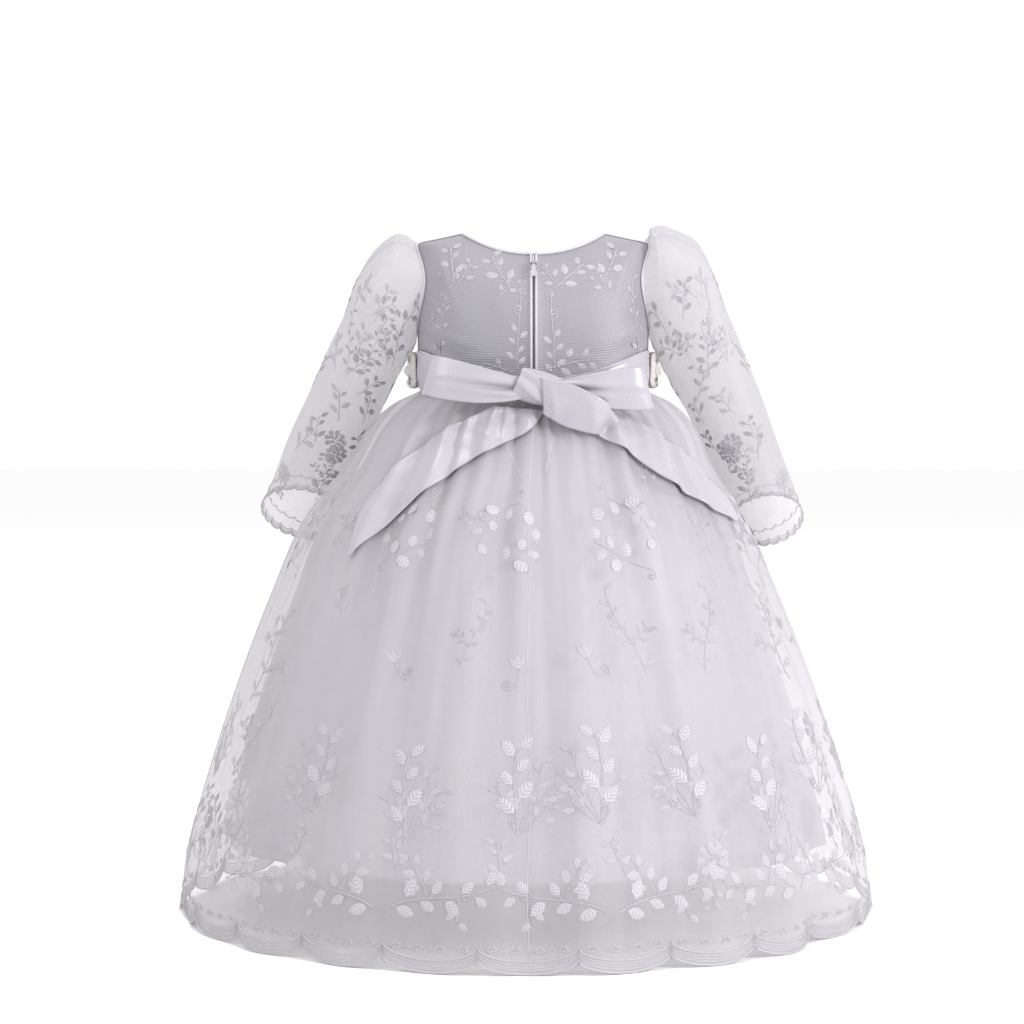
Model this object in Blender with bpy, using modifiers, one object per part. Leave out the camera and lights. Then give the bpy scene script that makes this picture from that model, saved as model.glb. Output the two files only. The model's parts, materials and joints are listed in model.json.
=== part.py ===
"""Christening gown, filled out as if worn: cloth walls, a tied sash and a centre back zip.

Metres, +Z up. The origin is midway between the shoulders, where the wearer holds the gown up. The back of the
gown faces -Y and the wearer's right is +X. Azimuths turn from the centre back towards the wearer's right.
"""

import math
from typing import Callable, NamedTuple

import bmesh
import bpy
from mathutils import Matrix, Vector

GOWN = "christening_gown"
FULL_TURN = 360.0
HALF_TURN = 180.0
QUARTER_TURN = 90.0

# Cloth
BODICE_CLOTH = 0.0014
TULLE = 0.0012
RIBBON = 0.0012
LACE_TRIM = 0.0014
SEAM_GAP = 0.0003

# Bodice
WAIST = -0.128
ARMPIT = -0.083
SHOULDER_TIP = -0.008
NECK_WIDTH = 0.120
BACK_NECK = -0.018
FRONT_NECK = -0.036
ARMHOLE_TURN = 24.0
TORSO_SQUARENESS = 2.4
ARMHOLE_ROWS = 7
SIDE_ROWS = 3
PANEL_COLUMNS = 10
NECK_SHARE = 0.55
NECK_CURVE = 2.2
ARMHOLE_CURVE = 0.8
ROWS_CROWD_UP = 1.2
SHARP_ANGLE = math.radians(50.0)

# Zip
ZIP_GROOVE = 0.0008
LIP_PEAK = 0.0026
LIP_FOOT = 0.0052
LIP_RISE = 0.0013
TAPE_WIDTH = 0.012
TAPE_TOP = -0.0225
TAPE_FOOT = -0.122
TAPE_ROWS = 12
SLOPE_REACH = 0.004
SLIDER = Vector((0.0056, 0.0022, 0.0080))
SLIDER_HEIGHT = -0.0290
SLIDER_LIFT = 0.0012
SLIDER_ROUNDING = 0.0005
PIN_RADIUS = 0.0005
PIN_REACH = 0.0018
PIN_RISE = 0.0012
EYE_CLEARANCE = 0.00035
EYE_WALL = 0.0007
EYE_WIDTH = 0.0022
LUG_WIDTH = 0.0008
LUG_SINK = 0.0004
LUG_ROUND_PIN = 1.6
TAB_LENGTH = 0.0110
TAB_WIDTH = 0.0036
TAB_THICKNESS = 0.0010
TAB_RISE = 0.0022
TAB_NECK_LENGTH = 0.0045
TAB_NECK_DROP = 0.0026

# Skirt
HEM = -0.571
SCALLOPS = 24
SCALLOP_DEPTH = 0.011
STEPS_A_SCALLOP = 4
GATHERS = 24
GATHER_DEPTH = 0.0018
LINING_HEM = -0.510
LINING_STEPS = 60
LINING_WAVES = 15
LINING_WAVE_DEPTH = 0.004

# Sleeves
SLEEVE_STEPS = 40
SLEEVE_GATHER_STEPS = 4
SLEEVE_GATHER_REACH = 84.0
SLEEVE_GATHER_DEPTH = 0.055
ARMHOLE_SEAM = 0.0006
CUFF_SCALLOPS = 22
CUFF_SCALLOP_DEPTH = 0.0025
CUFF_STEPS_A_SCALLOP = 3
CUFF_EDGE_SHARE = 0.9

# Sash and bow
SASH_STEPS = 48
SASH_TOP = -0.098
SASH_FOOT = -0.1300
SASH_DIP = 0.023
SASH_DIP_REACH = 75.0
SASH_END = 3.0
SASH_LIP_REACH = 6.0
KNOT_CENTRE = Vector((0.004, -0.0875, -0.1285))
KNOT_HALF = Vector((0.0185, 0.0098, 0.0135))
KNOT_LEAN = 0.0035
KNOT_DROP = 0.002
KNOT_TAPER = 0.10
KNOT_RIPPLE = 0.03
KNOT_STEPS = 20
KNOT_ROWS = 6
LOOP_STEPS = 24
LOOP_COLUMNS = 4
TAIL_ROWS = 14
TAIL_COLUMNS = 4
TAIL_LIFT = 0.0022
TAIL_BULGE = 0.0008
TRIM_SCALLOPS = 18
TRIM_STEPS_A_SCALLOP = 4
TRIM_START = 84.0
TRIM_INSET = 0.001
TRIM_SCALLOP_DEPTH = 0.004
TRIM_LIFT = 0.0046
TRIM_BUMP = 0.0055
TRIM_BUMP_EDGE = 0.15


class TorsoRow(NamedTuple):
    """One level of the bodice."""

    height: float
    half_width: float
    half_depth: float


class SkirtRow(NamedTuple):
    """One level of the skirt, with its sideways drift and how far its gathers and folds show there."""

    height: float
    half_width: float
    half_depth: float
    drift: float
    gather: float
    fold: float


class Fold(NamedTuple):
    """A fold that runs down the skirt: outward where its rise is above nought."""

    azimuth: float
    reach: float
    rise: float


class SleeveRow(NamedTuple):
    """A ring of a sleeve: its upper and lower edge seen from the back, how far forward it lies, and its fullness."""

    upper_x: float
    upper_z: float
    under_x: float
    under_z: float
    forward: float
    half_depth: float
    gather: float


class LoopRow(NamedTuple):
    """A place along a bow loop, from its back layer at the knot round the tip to its front layer."""

    out: float
    depth: float
    centre_z: float
    half_height: float
    slant: float


class SashRow(NamedTuple):
    """A row of the sash: its share of the way down the band, and how far it stands off the bodice."""

    share: float
    out: float


class TailRow(NamedTuple):
    """A place along a sash tail: both edges, by azimuth and height on the skirt."""

    upper_azimuth: float
    upper_z: float
    under_azimuth: float
    under_z: float


TORSO = (
    TorsoRow(0.000, 0.0600, 0.0000),
    TorsoRow(-0.002, 0.0690, 0.0140),
    TorsoRow(-0.004, 0.0780, 0.0200),
    TorsoRow(-0.008, 0.0960, 0.0280),
    TorsoRow(-0.012, 0.0972, 0.0340),
    TorsoRow(-0.018, 0.0975, 0.0400),
    TorsoRow(-0.027, 0.0975, 0.0475),
    TorsoRow(-0.040, 0.0972, 0.0555),
    TorsoRow(-0.055, 0.0970, 0.0620),
    TorsoRow(-0.070, 0.0970, 0.0665),
    TorsoRow(-0.083, 0.0970, 0.0690),
    TorsoRow(-0.105, 0.0965, 0.0715),
    TorsoRow(-0.130, 0.0955, 0.0730),
)

SKIRT = (
    SkirtRow(-0.1285, 0.0955, 0.0730, 0.000, 0.0, 0.00),
    SkirtRow(-0.1320, 0.0960, 0.0735, 0.000, 0.0, 0.00),
    SkirtRow(-0.1420, 0.1160, 0.0770, 0.000, 0.3, 0.03),
    SkirtRow(-0.1640, 0.1370, 0.0970, -0.001, 1.2, 0.12),
    SkirtRow(-0.1950, 0.1530, 0.1230, -0.003, 1.2, 0.25),
    SkirtRow(-0.2400, 0.1860, 0.1580, -0.006, 0.8, 0.38),
    SkirtRow(-0.3000, 0.2130, 0.1920, -0.006, 0.3, 0.52),
    SkirtRow(-0.3750, 0.2430, 0.2260, -0.006, 0.0, 0.68),
    SkirtRow(-0.4500, 0.2690, 0.2540, -0.006, 0.0, 0.84),
    SkirtRow(-0.5200, 0.2890, 0.2770, -0.006, 0.0, 0.96),
    SkirtRow(-0.5710, 0.2960, 0.2850, -0.006, 0.0, 1.00),
)

SKIRT_LEVELS = (-0.1285, -0.1320, -0.1420, -0.1640, -0.2050, -0.2700, -0.3550, -0.4500)

LINING = (
    SkirtRow(-0.1285, 0.0932, 0.0706, 0.000, 0.0, 0.0),
    SkirtRow(-0.1320, 0.0936, 0.0710, 0.000, 0.0, 0.0),
    SkirtRow(-0.1420, 0.1070, 0.0733, 0.000, 0.0, 0.0),
    SkirtRow(-0.1640, 0.1250, 0.0870, -0.001, 0.4, 0.0),
    SkirtRow(-0.1950, 0.1400, 0.1100, -0.003, 0.5, 0.0),
    SkirtRow(-0.2400, 0.1690, 0.1420, -0.006, 0.6, 0.0),
    SkirtRow(-0.3000, 0.1920, 0.1720, -0.006, 0.7, 0.0),
    SkirtRow(-0.3750, 0.2170, 0.2020, -0.006, 0.9, 0.0),
    SkirtRow(-0.4500, 0.2380, 0.2240, -0.006, 1.0, 0.0),
    SkirtRow(-0.5100, 0.2520, 0.2390, -0.006, 1.1, 0.0),
)

LINING_LEVELS = (-0.1285, -0.1320, -0.1420, -0.1700, -0.2300, -0.3400, LINING_HEM)

FOLDS = (
    Fold(0.0, 5.0, -0.005),
    Fold(-20.0, 7.0, -0.004),
    Fold(-38.0, 8.0, -0.006),
    Fold(-56.0, 7.0, -0.004),
    Fold(-76.0, 8.0, -0.006),
    Fold(22.0, 7.0, -0.007),
    Fold(38.0, 6.0, -0.004),
    Fold(55.0, 8.0, -0.013),
    Fold(76.0, 7.0, -0.005),
    Fold(47.0, 5.0, 0.003),
    Fold(-47.0, 5.0, 0.002),
    Fold(100.0, 8.0, -0.007),
    Fold(119.0, 7.0, -0.010),
    Fold(138.0, 8.0, -0.005),
    Fold(158.0, 7.0, -0.011),
    Fold(178.0, 8.0, -0.006),
    Fold(197.0, 7.0, -0.009),
    Fold(216.0, 8.0, -0.005),
    Fold(235.0, 7.0, -0.009),
    Fold(256.0, 8.0, -0.010),
)

SLEEVE_LEFT = (
    SleeveRow(0.1070, -0.0040, 0.1000, -0.0876, 0.000, 0.034, 1.0),
    SleeveRow(0.1155, -0.0030, 0.1017, -0.0918, 0.001, 0.037, 1.0),
    SleeveRow(0.1275, -0.0100, 0.1035, -0.0960, 0.003, 0.039, 0.9),
    SleeveRow(0.1377, -0.0204, 0.1055, -0.1003, 0.006, 0.039, 0.7),
    SleeveRow(0.1490, -0.0390, 0.1090, -0.1070, 0.010, 0.037, 0.4),
    SleeveRow(0.1590, -0.0655, 0.1130, -0.1157, 0.016, 0.035, 0.2),
    SleeveRow(0.1743, -0.0947, 0.1210, -0.1300, 0.027, 0.033, 0.0),
    SleeveRow(0.1920, -0.1315, 0.1340, -0.1575, 0.047, 0.032, 0.0),
    SleeveRow(0.2130, -0.1730, 0.1527, -0.2000, 0.072, 0.032, 0.0),
    SleeveRow(0.2280, -0.2090, 0.1625, -0.2340, 0.094, 0.033, 0.0),
)

SLEEVE_RIGHT = (
    SleeveRow(0.0990, 0.0020, 0.0995, -0.0860, 0.000, 0.034, 1.0),
    SleeveRow(0.1090, 0.0040, 0.1010, -0.0900, 0.001, 0.037, 1.0),
    SleeveRow(0.1250, -0.0015, 0.1030, -0.0948, 0.003, 0.039, 0.9),
    SleeveRow(0.1394, -0.0100, 0.1058, -0.0995, 0.006, 0.039, 0.7),
    SleeveRow(0.1513, -0.0315, 0.1090, -0.1070, 0.010, 0.037, 0.4),
    SleeveRow(0.1608, -0.0570, 0.1140, -0.1170, 0.016, 0.035, 0.2),
    SleeveRow(0.1735, -0.0840, 0.1220, -0.1326, 0.027, 0.033, 0.0),
    SleeveRow(0.1946, -0.1300, 0.1365, -0.1575, 0.047, 0.032, 0.0),
    SleeveRow(0.2134, -0.1765, 0.1537, -0.2000, 0.072, 0.032, 0.0),
    SleeveRow(0.2305, -0.2170, 0.1690, -0.2400, 0.094, 0.033, 0.0),
)

CUFF_LEFT = SleeveRow(0.2400, -0.2336, 0.1660, -0.2530, 0.108, 0.036, 0.0)
CUFF_RIGHT = SleeveRow(0.2398, -0.2400, 0.1767, -0.2576, 0.108, 0.036, 0.0)

SASH = (
    SashRow(0.00, 0.0018),
    SashRow(0.45, 0.0024),
    SashRow(1.00, 0.0020),
)

LOOP_LEFT = (
    LoopRow(0.010, -0.0845, -0.1270, 0.0060, 0.00),
    LoopRow(0.026, -0.0825, -0.1272, 0.0100, 0.02),
    LoopRow(0.050, -0.0790, -0.1265, 0.0150, 0.06),
    LoopRow(0.075, -0.0750, -0.1235, 0.0168, 0.12),
    LoopRow(0.090, -0.0760, -0.1205, 0.0170, 0.18),
    LoopRow(0.0945, -0.0820, -0.1190, 0.0170, 0.20),
    LoopRow(0.090, -0.0890, -0.1195, 0.0170, 0.18),
    LoopRow(0.075, -0.0940, -0.1225, 0.0165, 0.12),
    LoopRow(0.050, -0.0955, -0.1255, 0.0145, 0.06),
    LoopRow(0.026, -0.0935, -0.1270, 0.0095, 0.02),
    LoopRow(0.010, -0.0920, -0.1270, 0.0060, 0.00),
)

LOOP_RIGHT = (
    LoopRow(0.016, -0.0845, -0.1300, 0.0055, 0.00),
    LoopRow(0.032, -0.0825, -0.1312, 0.0100, 0.00),
    LoopRow(0.054, -0.0795, -0.1305, 0.0150, -0.02),
    LoopRow(0.079, -0.0755, -0.1280, 0.0168, -0.08),
    LoopRow(0.094, -0.0765, -0.1265, 0.0172, -0.14),
    LoopRow(0.0990, -0.0825, -0.1260, 0.0172, -0.16),
    LoopRow(0.094, -0.0895, -0.1270, 0.0170, -0.14),
    LoopRow(0.079, -0.0945, -0.1300, 0.0165, -0.08),
    LoopRow(0.054, -0.0960, -0.1320, 0.0145, -0.02),
    LoopRow(0.032, -0.0935, -0.1315, 0.0095, 0.00),
    LoopRow(0.016, -0.0920, -0.1300, 0.0055, 0.00),
)

TAIL_LEFT = (
    TailRow(-15.6, -0.1435, 4.5, -0.1470),
    TailRow(-23.6, -0.1533, -1.6, -0.1634),
    TailRow(-30.1, -0.1605, -8.9, -0.1730),
    TailRow(-39.7, -0.1786, -18.9, -0.1865),
    TailRow(-45.9, -0.1988, -28.3, -0.2072),
    TailRow(-49.0, -0.2182, -36.0, -0.2329),
    TailRow(-47.2, -0.2457, -41.8, -0.2522),
    TailRow(-45.6, -0.2617, -44.5, -0.2640),
)

TAIL_RIGHT = (
    TailRow(17.0, -0.1400, 6.6, -0.1480),
    TailRow(28.0, -0.1440, 14.1, -0.1579),
    TailRow(38.1, -0.1527, 23.3, -0.1685),
    TailRow(47.0, -0.1658, 33.3, -0.1822),
    TailRow(58.0, -0.1810, 43.0, -0.2018),
    TailRow(67.0, -0.1983, 54.9, -0.2214),
    TailRow(70.0, -0.2199, 61.0, -0.2310),
    TailRow(69.5, -0.2360, 67.5, -0.2393),
)


def at_height(rows: tuple, height: float, column: str) -> float:
    """Read one column of a table at a height, smoothly between its rows."""
    places = [row.height for row in rows]
    values = [getattr(row, column) for row in rows]
    if height >= places[0]:
        return values[0]
    if height <= places[-1]:
        return values[-1]
    index = next(i for i in range(len(rows) - 1) if places[i + 1] <= height <= places[i])
    return hermite(places, values, index, (height - places[index]) / (places[index + 1] - places[index]))


def hermite(places: list, values: list, index: int, share: float) -> float:
    """Pass a cubic through two neighbouring values, with slopes taken from the values on either side."""
    low, high = max(index - 1, 0), min(index + 2, len(values) - 1)
    span = places[index + 1] - places[index]
    start = (values[index + 1] - values[low]) / (places[index + 1] - places[low]) * span
    stop = (values[high] - values[index]) / (places[high] - places[index]) * span
    a, b = values[index], values[index + 1]
    square, cube = share**2, share**3
    return (
        a * (2 * cube - 3 * square + 1)
        + start * (cube - 2 * square + share)
        + b * (3 * square - 2 * cube)
        + stop * (cube - square)
    )


def resample(rows: tuple, steps: int) -> list:
    """Read a table of numbers at even steps along its rows, smoothly."""
    places = [float(i) for i in range(len(rows))]
    kind = type(rows[0])
    found = []
    for step in range(steps + 1):
        place = step / steps * (len(rows) - 1)
        index = min(int(place), len(rows) - 2)
        fields = ([row[field] for row in rows] for field in range(len(rows[0])))
        found.append(kind(*(hermite(places, values, index, place - index) for values in fields)))
    return found


def ease(share: float) -> float:
    """Rise gently from nought to one."""
    share = min(max(share, 0.0), 1.0)
    return share * share * (3.0 - 2.0 * share)


def turn_between(first: float, second: float) -> float:
    """Give the turn from one azimuth to another, between half a turn back and half a turn on."""
    return (first - second + HALF_TURN) % FULL_TURN - HALF_TURN


def torso_point(azimuth: float, height: float, out: float = 0.0) -> Vector:
    """Give a point of the bodice's outer face, or one moved out from it."""
    angle, power = math.radians(azimuth), 2.0 / TORSO_SQUARENESS
    across, along = math.sin(angle), -math.cos(angle)
    width = at_height(TORSO, height, "half_width") + out
    depth = at_height(TORSO, height, "half_depth") + out
    x = math.copysign(abs(across) ** power, across) * width
    y = math.copysign(abs(along) ** power, along) * depth
    return Vector((x, y, height))


def ring_point(row: SkirtRow, azimuth: float, out: float) -> Vector:
    """Give a point of an oval level."""
    angle = math.radians(azimuth)
    x = row.drift + (row.half_width + out) * math.sin(angle)
    return Vector((x, -(row.half_depth + out) * math.cos(angle), row.height))


def read_level(rows: tuple, height: float) -> SkirtRow:
    """Read every column of a skirt table at one height."""
    columns = ("half_width", "half_depth", "drift", "gather", "fold")
    return SkirtRow(height, *(at_height(rows, height, column) for column in columns))


def overlay_point(azimuth: float, height: float, out: float = 0.0) -> Vector:
    """Give a point of the tulle overlay's outer face, with its gathers and folds."""
    row = read_level(SKIRT, height)
    folds = sum(f.rise * math.exp(-((turn_between(azimuth, f.azimuth) / f.reach) ** 2)) for f in FOLDS)
    gathers = math.cos(math.radians(azimuth) * GATHERS) * GATHER_DEPTH
    return ring_point(row, azimuth, folds * row.fold + gathers * row.gather + out)


def lining_point(azimuth: float, height: float, out: float = 0.0) -> Vector:
    """Give a point of the lining's outer face."""
    row = read_level(LINING, height)
    wave = math.sin(math.radians(azimuth) * LINING_WAVES) * LINING_WAVE_DEPTH * row.gather
    return ring_point(row, azimuth, wave + out)


def normals(rows: list, closed: bool) -> list:
    """Give the direction across the surface at each point of a grid."""
    last, count = len(rows) - 1, len(rows[0])
    found = []
    for i, row in enumerate(rows):
        line = []
        for j in range(count):
            before, after = (j - 1) % count, (j + 1) % count
            if not closed:
                before, after = max(j - 1, 0), min(j + 1, count - 1)
            down = rows[min(i + 1, last)][j] - rows[max(i - 1, 0)][j]
            line.append(down.cross(row[after] - row[before]).normalized())
        found.append(line)
    return found


def inner_face(rows: list, thickness: float, closed: bool, side: Callable, seams: tuple) -> list:
    """Move a grid inward by the cloth's thickness, with each point kept on its own side of a seam."""
    across = normals(rows, closed)
    for column, direction in zip((0, -1), seams):
        for line in across:
            line[column] = (line[column] - direction * line[column].dot(direction)).normalized()
    return [[side(p - n * thickness) for p, n in zip(row, line)] for row, line in zip(rows, across)]


def stitched(mesh: bmesh.types.BMesh, rows: list, closed: bool, flip: bool) -> list:
    """Add a grid's points and quads, and give its vertices."""
    grid = [[mesh.verts.new(point) for point in row] for row in rows]
    count = len(rows[0])
    for upper, lower in zip(grid, grid[1:]):
        for j in range(count if closed else count - 1):
            k = (j + 1) % count
            corners = (upper[j], lower[j], lower[k], upper[k])
            mesh.faces.new(corners[::-1] if flip else corners)
    return grid


def rim(mesh: bmesh.types.BMesh, outer: list, inner: list, closed: bool) -> None:
    """Close a wall along one run of its edge, which the outer face keeps on its left."""
    count = len(outer)
    for j in range(count if closed else count - 1):
        k = (j + 1) % count
        mesh.faces.new((outer[k], outer[j], inner[j], inner[k]))


def wall(
    name: str,
    rows: list,
    thickness: float,
    closed: bool = False,
    side: Callable = lambda point: point,
    seams: tuple = (),
) -> bpy.types.Object:
    """Make a cloth wall from the grid of its outer face, listed from the top down and left to right from outside.

    A point stays where side puts it, and the first and last columns stay square to the seams' directions.
    """
    mesh = bmesh.new()
    outer = stitched(mesh, rows, closed, False)
    inner = stitched(mesh, inner_face(rows, thickness, closed, side, seams), closed, True)
    rim(mesh, outer[0][::-1], inner[0][::-1], closed)
    rim(mesh, outer[-1], inner[-1], closed)
    if not closed:
        rim(mesh, [row[0] for row in outer], [row[0] for row in inner], False)
        rim(mesh, [row[-1] for row in outer][::-1], [row[-1] for row in inner][::-1], False)
    return finished(name, mesh)


def finished(name: str, mesh: bmesh.types.BMesh) -> bpy.types.Object:
    """Turn a mesh into a named, smooth-shaded object."""
    data = bpy.data.meshes.new(name)
    mesh.to_mesh(data)
    mesh.free()
    data.shade_smooth()
    data.set_sharp_from_angle(angle=SHARP_ANGLE)
    piece = bpy.data.objects.new(name, data)
    bpy.data.collections[GOWN].objects.link(piece)
    return piece


def neckline_place(share: float, centre: float) -> tuple:
    """Give how far out and how high a point of the neckline is, a share of the way to the neck point."""
    return NECK_WIDTH / 2.0 * share, centre * (1.0 - share**NECK_CURVE)


def shoulder_place(share: float) -> tuple:
    """Give how far out and how high a point of the shoulder seam is, from the neck point to the tip."""
    height = SHOULDER_TIP * share
    return at_height(TORSO, height, "half_width"), height


def armhole_place(share: float) -> tuple:
    """Give azimuth and height on the back or front edge of the armhole, from the shoulder to the armpit."""
    inward = ARMHOLE_TURN * math.sin(math.pi * share**ARMHOLE_CURVE)
    return QUARTER_TURN - inward, SHOULDER_TIP + (ARMPIT - SHOULDER_TIP) * share


def top_edge(share: float, centre: float) -> tuple:
    """Give a point of a half panel's upper edge: the neckline, then the shoulder seam."""
    if share < NECK_SHARE:
        return neckline_place(share / NECK_SHARE, centre)
    return shoulder_place((share - NECK_SHARE) / (1.0 - NECK_SHARE))


def outer_edge(row: int) -> tuple:
    """Give a point of a half panel's outer edge: the armhole, then the side seam."""
    if row <= ARMHOLE_ROWS:
        azimuth, height = armhole_place(row / ARMHOLE_ROWS)
        return torso_point(azimuth, height).x, height
    height = ARMPIT + (WAIST - ARMPIT) * (row - ARMHOLE_ROWS) / SIDE_ROWS
    return at_height(TORSO, height, "half_width"), height


def on_torso(across: float, height: float, out: float = 0.0) -> Vector:
    """Give the point of the back at a distance from the centre plane."""
    share = min(across / at_height(TORSO, height, "half_width"), 1.0)
    return torso_point(math.degrees(math.asin(share ** (TORSO_SQUARENESS / 2.0))), height, out)


def half_panel(centre: float, zip_lip: bool) -> list:
    """List the rows of the right half of a back panel, from its upper edge down, centre to side.

    The panel has four edges, and the points between them are blended from those edges.
    """
    shares = [i / PANEL_COLUMNS for i in range(PANEL_COLUMNS + 1)]
    last = ARMHOLE_ROWS + SIDE_ROWS
    rows = []
    for i in range(last + 1):
        down = i / last
        middle = centre + (WAIST - centre) * down**ROWS_CROWD_UP
        edge = outer_edge(i)
        row = []
        for share in shares:
            top = top_edge(share, centre)
            foot = torso_point(QUARTER_TURN * share, WAIST)
            x = (1 - down) * top[0] + down * foot.x + share * (edge[0] - (1 - down) * top_edge(1.0, centre)[0])
            x -= share * down * at_height(TORSO, WAIST, "half_width")
            z = (1 - down) * top[1] + down * WAIST + (1 - share) * middle + share * edge[1]
            z -= (1 - down) * ((1 - share) * centre + share * SHOULDER_TIP) + down * WAIST
            row.append((x, z))
        if zip_lip:
            beside = ((ZIP_GROOVE / 2.0, 0.0), (LIP_PEAK, LIP_RISE), (LIP_FOOT, 0.0))
            line = [on_torso(x, middle, out) for x, out in beside]
        else:
            line = [on_torso(0.0, middle)]
        rows.append(line + [on_torso(*place) for place in row[1:]])
    return rows


def mirrored(rows: list, x: float = -1.0, y: float = 1.0) -> list:
    """Reflect a grid, with its columns put back in order from the left."""
    flipped = [[Vector((p.x * x, p.y * y, p.z)) for p in row] for row in rows]
    return [row[::-1] for row in flipped] if x * y < 0 else flipped


def kept_side(normal: Vector, distance: float = SEAM_GAP / 2.0) -> Callable:
    """Give a test that holds a point at least a distance along a direction."""

    def hold(point: Vector) -> Vector:
        return point + normal * max(distance - point.dot(normal), 0.0)

    return hold


def both(first: Callable, second: Callable) -> Callable:
    """Hold a point on its side of two seams."""
    return lambda point: second(first(point))


def make_bodice() -> list:
    """Make the front and the two back panels."""
    back, front = Vector((0.0, -1.0, 0.0)), Vector((0.0, 1.0, 0.0))
    right, left = Vector((1.0, 0.0, 0.0)), Vector((-1.0, 0.0, 0.0))
    half = half_panel(BACK_NECK, True)
    on_back = both(kept_side(back), kept_side(right, ZIP_GROOVE / 2.0))
    rows = [[on_back(p) for p in row] for row in half]
    pieces = [wall("bodice_back_right", rows, BODICE_CLOTH, side=on_back)]
    on_back = both(kept_side(back), kept_side(left, ZIP_GROOVE / 2.0))
    pieces.append(wall("bodice_back_left", mirrored(rows), BODICE_CLOTH, side=on_back))
    half = [[kept_side(front)(p) for p in row] for row in mirrored(half_panel(FRONT_NECK, False), 1.0, -1.0)]
    whole = [row + other[1:] for row, other in zip(half, mirrored(half))]
    pieces.append(wall("bodice_front", whole, BODICE_CLOTH, side=kept_side(front)))
    return pieces


def armhole_ring(hand: int) -> list:
    """List the points of an armhole seam, moved just off the bodice, in the sleeve's own order."""
    ring = []
    for step in range(SLEEVE_STEPS):
        share = step / SLEEVE_STEPS * 2.0
        azimuth, height = armhole_place(share if share <= 1.0 else 2.0 - share)
        point = torso_point(azimuth, height)
        y = point.y if share <= 1.0 else -point.y
        ring.append(Vector((hand * (point.x + ARMHOLE_SEAM), y, point.z)))
    return ring


def sleeve_frames(rows: tuple, hand: int) -> list:
    """Give each ring's centre, its half width towards the under side, and its direction towards the back."""
    uppers = [Vector((hand * r.upper_x, r.forward, r.upper_z)) for r in rows]
    unders = [Vector((hand * r.under_x, r.forward, r.under_z)) for r in rows]
    centres = [(a + b) / 2.0 for a, b in zip(uppers, unders)]
    last = len(rows) - 1
    frames = []
    for i, row in enumerate(rows):
        along = centres[min(i + 1, last)] - centres[max(i - 1, 0)]
        half = (unders[i] - uppers[i]) / 2.0
        towards = along.cross(half).normalized() * hand
        if towards.y > 0.0:
            towards = -towards
        frames.append((centres[i], half, towards * row.half_depth))
    return frames


def sleeve_ring(frame: tuple, gather: float, steps: int) -> list:
    """List the points of one ring, from the upper edge round by the back, with its head gathered."""
    centre, half, towards = frame
    ring = []
    for step in range(steps):
        angle = FULL_TURN * step / steps
        over = abs(turn_between(angle, 0.0)) / SLEEVE_GATHER_REACH
        wave = math.cos(step * FULL_TURN / SLEEVE_GATHER_STEPS * math.pi / HALF_TURN) * SLEEVE_GATHER_DEPTH
        size = 1.0 + wave * gather * (1.0 - ease(over))
        turned = math.radians(angle)
        ring.append(centre + (half * -math.cos(turned) + towards * math.sin(turned)) * size)
    return ring


def outside_order(rows: list, hand: int) -> list:
    """Put a tube's columns in order from the left, as seen from outside."""
    return [row[::-1] for row in rows] if hand > 0 else rows


def make_sleeve(name: str, rows: tuple, cuff: SleeveRow, hand: int) -> list:
    """Make a sleeve and the lace on its cuff."""
    frames = sleeve_frames(rows + (cuff,), hand)
    grid = [armhole_ring(hand)]
    grid += [sleeve_ring(frame, row.gather, SLEEVE_STEPS) for frame, row in zip(frames, rows)]
    sleeve = wall(f"sleeve_{name}", outside_order(grid, hand), TULLE, closed=True)
    steps = CUFF_SCALLOPS * CUFF_STEPS_A_SCALLOP
    top, foot = (sleeve_ring(frame, 0.0, steps) for frame in frames[-2:])
    start = SEAM_GAP / (foot[0] - top[0]).length
    edging = []
    for share in (start, 1.0):
        line = []
        for step, (a, b) in enumerate(zip(top, foot)):
            notch = scallop(step / CUFF_STEPS_A_SCALLOP) * CUFF_SCALLOP_DEPTH
            reach = share - notch / (b - a).length * (share > CUFF_EDGE_SHARE)
            line.append(a.lerp(b, reach))
        edging.append(line)
    lace = wall(f"cuff_lace_{name}", outside_order(edging, hand), TULLE, closed=True)
    return [sleeve, lace]


def scallop(place: float) -> float:
    """Give how deep a scalloped edge is cut at a place counted in scallops: one at each notch, nought between."""
    return 1.0 - math.sqrt(abs(math.sin(math.pi * place)))


def skirt_grid(start: float, stop: float) -> list:
    """List the rows of a stretch of the overlay, down to its scalloped hem."""
    turn = FULL_TURN / (SCALLOPS * STEPS_A_SCALLOP)
    steps = round((stop - start) / turn)
    trim = math.degrees(SEAM_GAP / 2.0 / SKIRT[0].half_width)
    azimuths = [start + turn * i for i in range(steps + 1)]
    azimuths[0] += trim
    azimuths[-1] -= trim
    rows = [[overlay_point(azimuth, level) for azimuth in azimuths] for level in SKIRT_LEVELS]
    places = [azimuth * SCALLOPS / FULL_TURN + 0.5 for azimuth in azimuths]
    rows.append([overlay_point(a, HEM + scallop(p) * SCALLOP_DEPTH) for a, p in zip(azimuths, places)])
    return rows


def make_overlay() -> list:
    """Make the three tulle panels of the skirt."""
    spans = {
        "skirt_overlay_back_right": (0.0, QUARTER_TURN),
        "skirt_overlay_front": (QUARTER_TURN, FULL_TURN - QUARTER_TURN),
        "skirt_overlay_back_left": (-QUARTER_TURN, 0.0),
    }
    return [wall(n, skirt_grid(*span), TULLE, seams=around(*span)) for n, span in spans.items()]


def around(start: float, stop: float) -> tuple:
    """Give the direction round the body at each of two azimuths."""
    angles = (math.radians(start), math.radians(stop))
    return tuple(Vector((math.cos(angle), math.sin(angle), 0.0)) for angle in angles)


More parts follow.
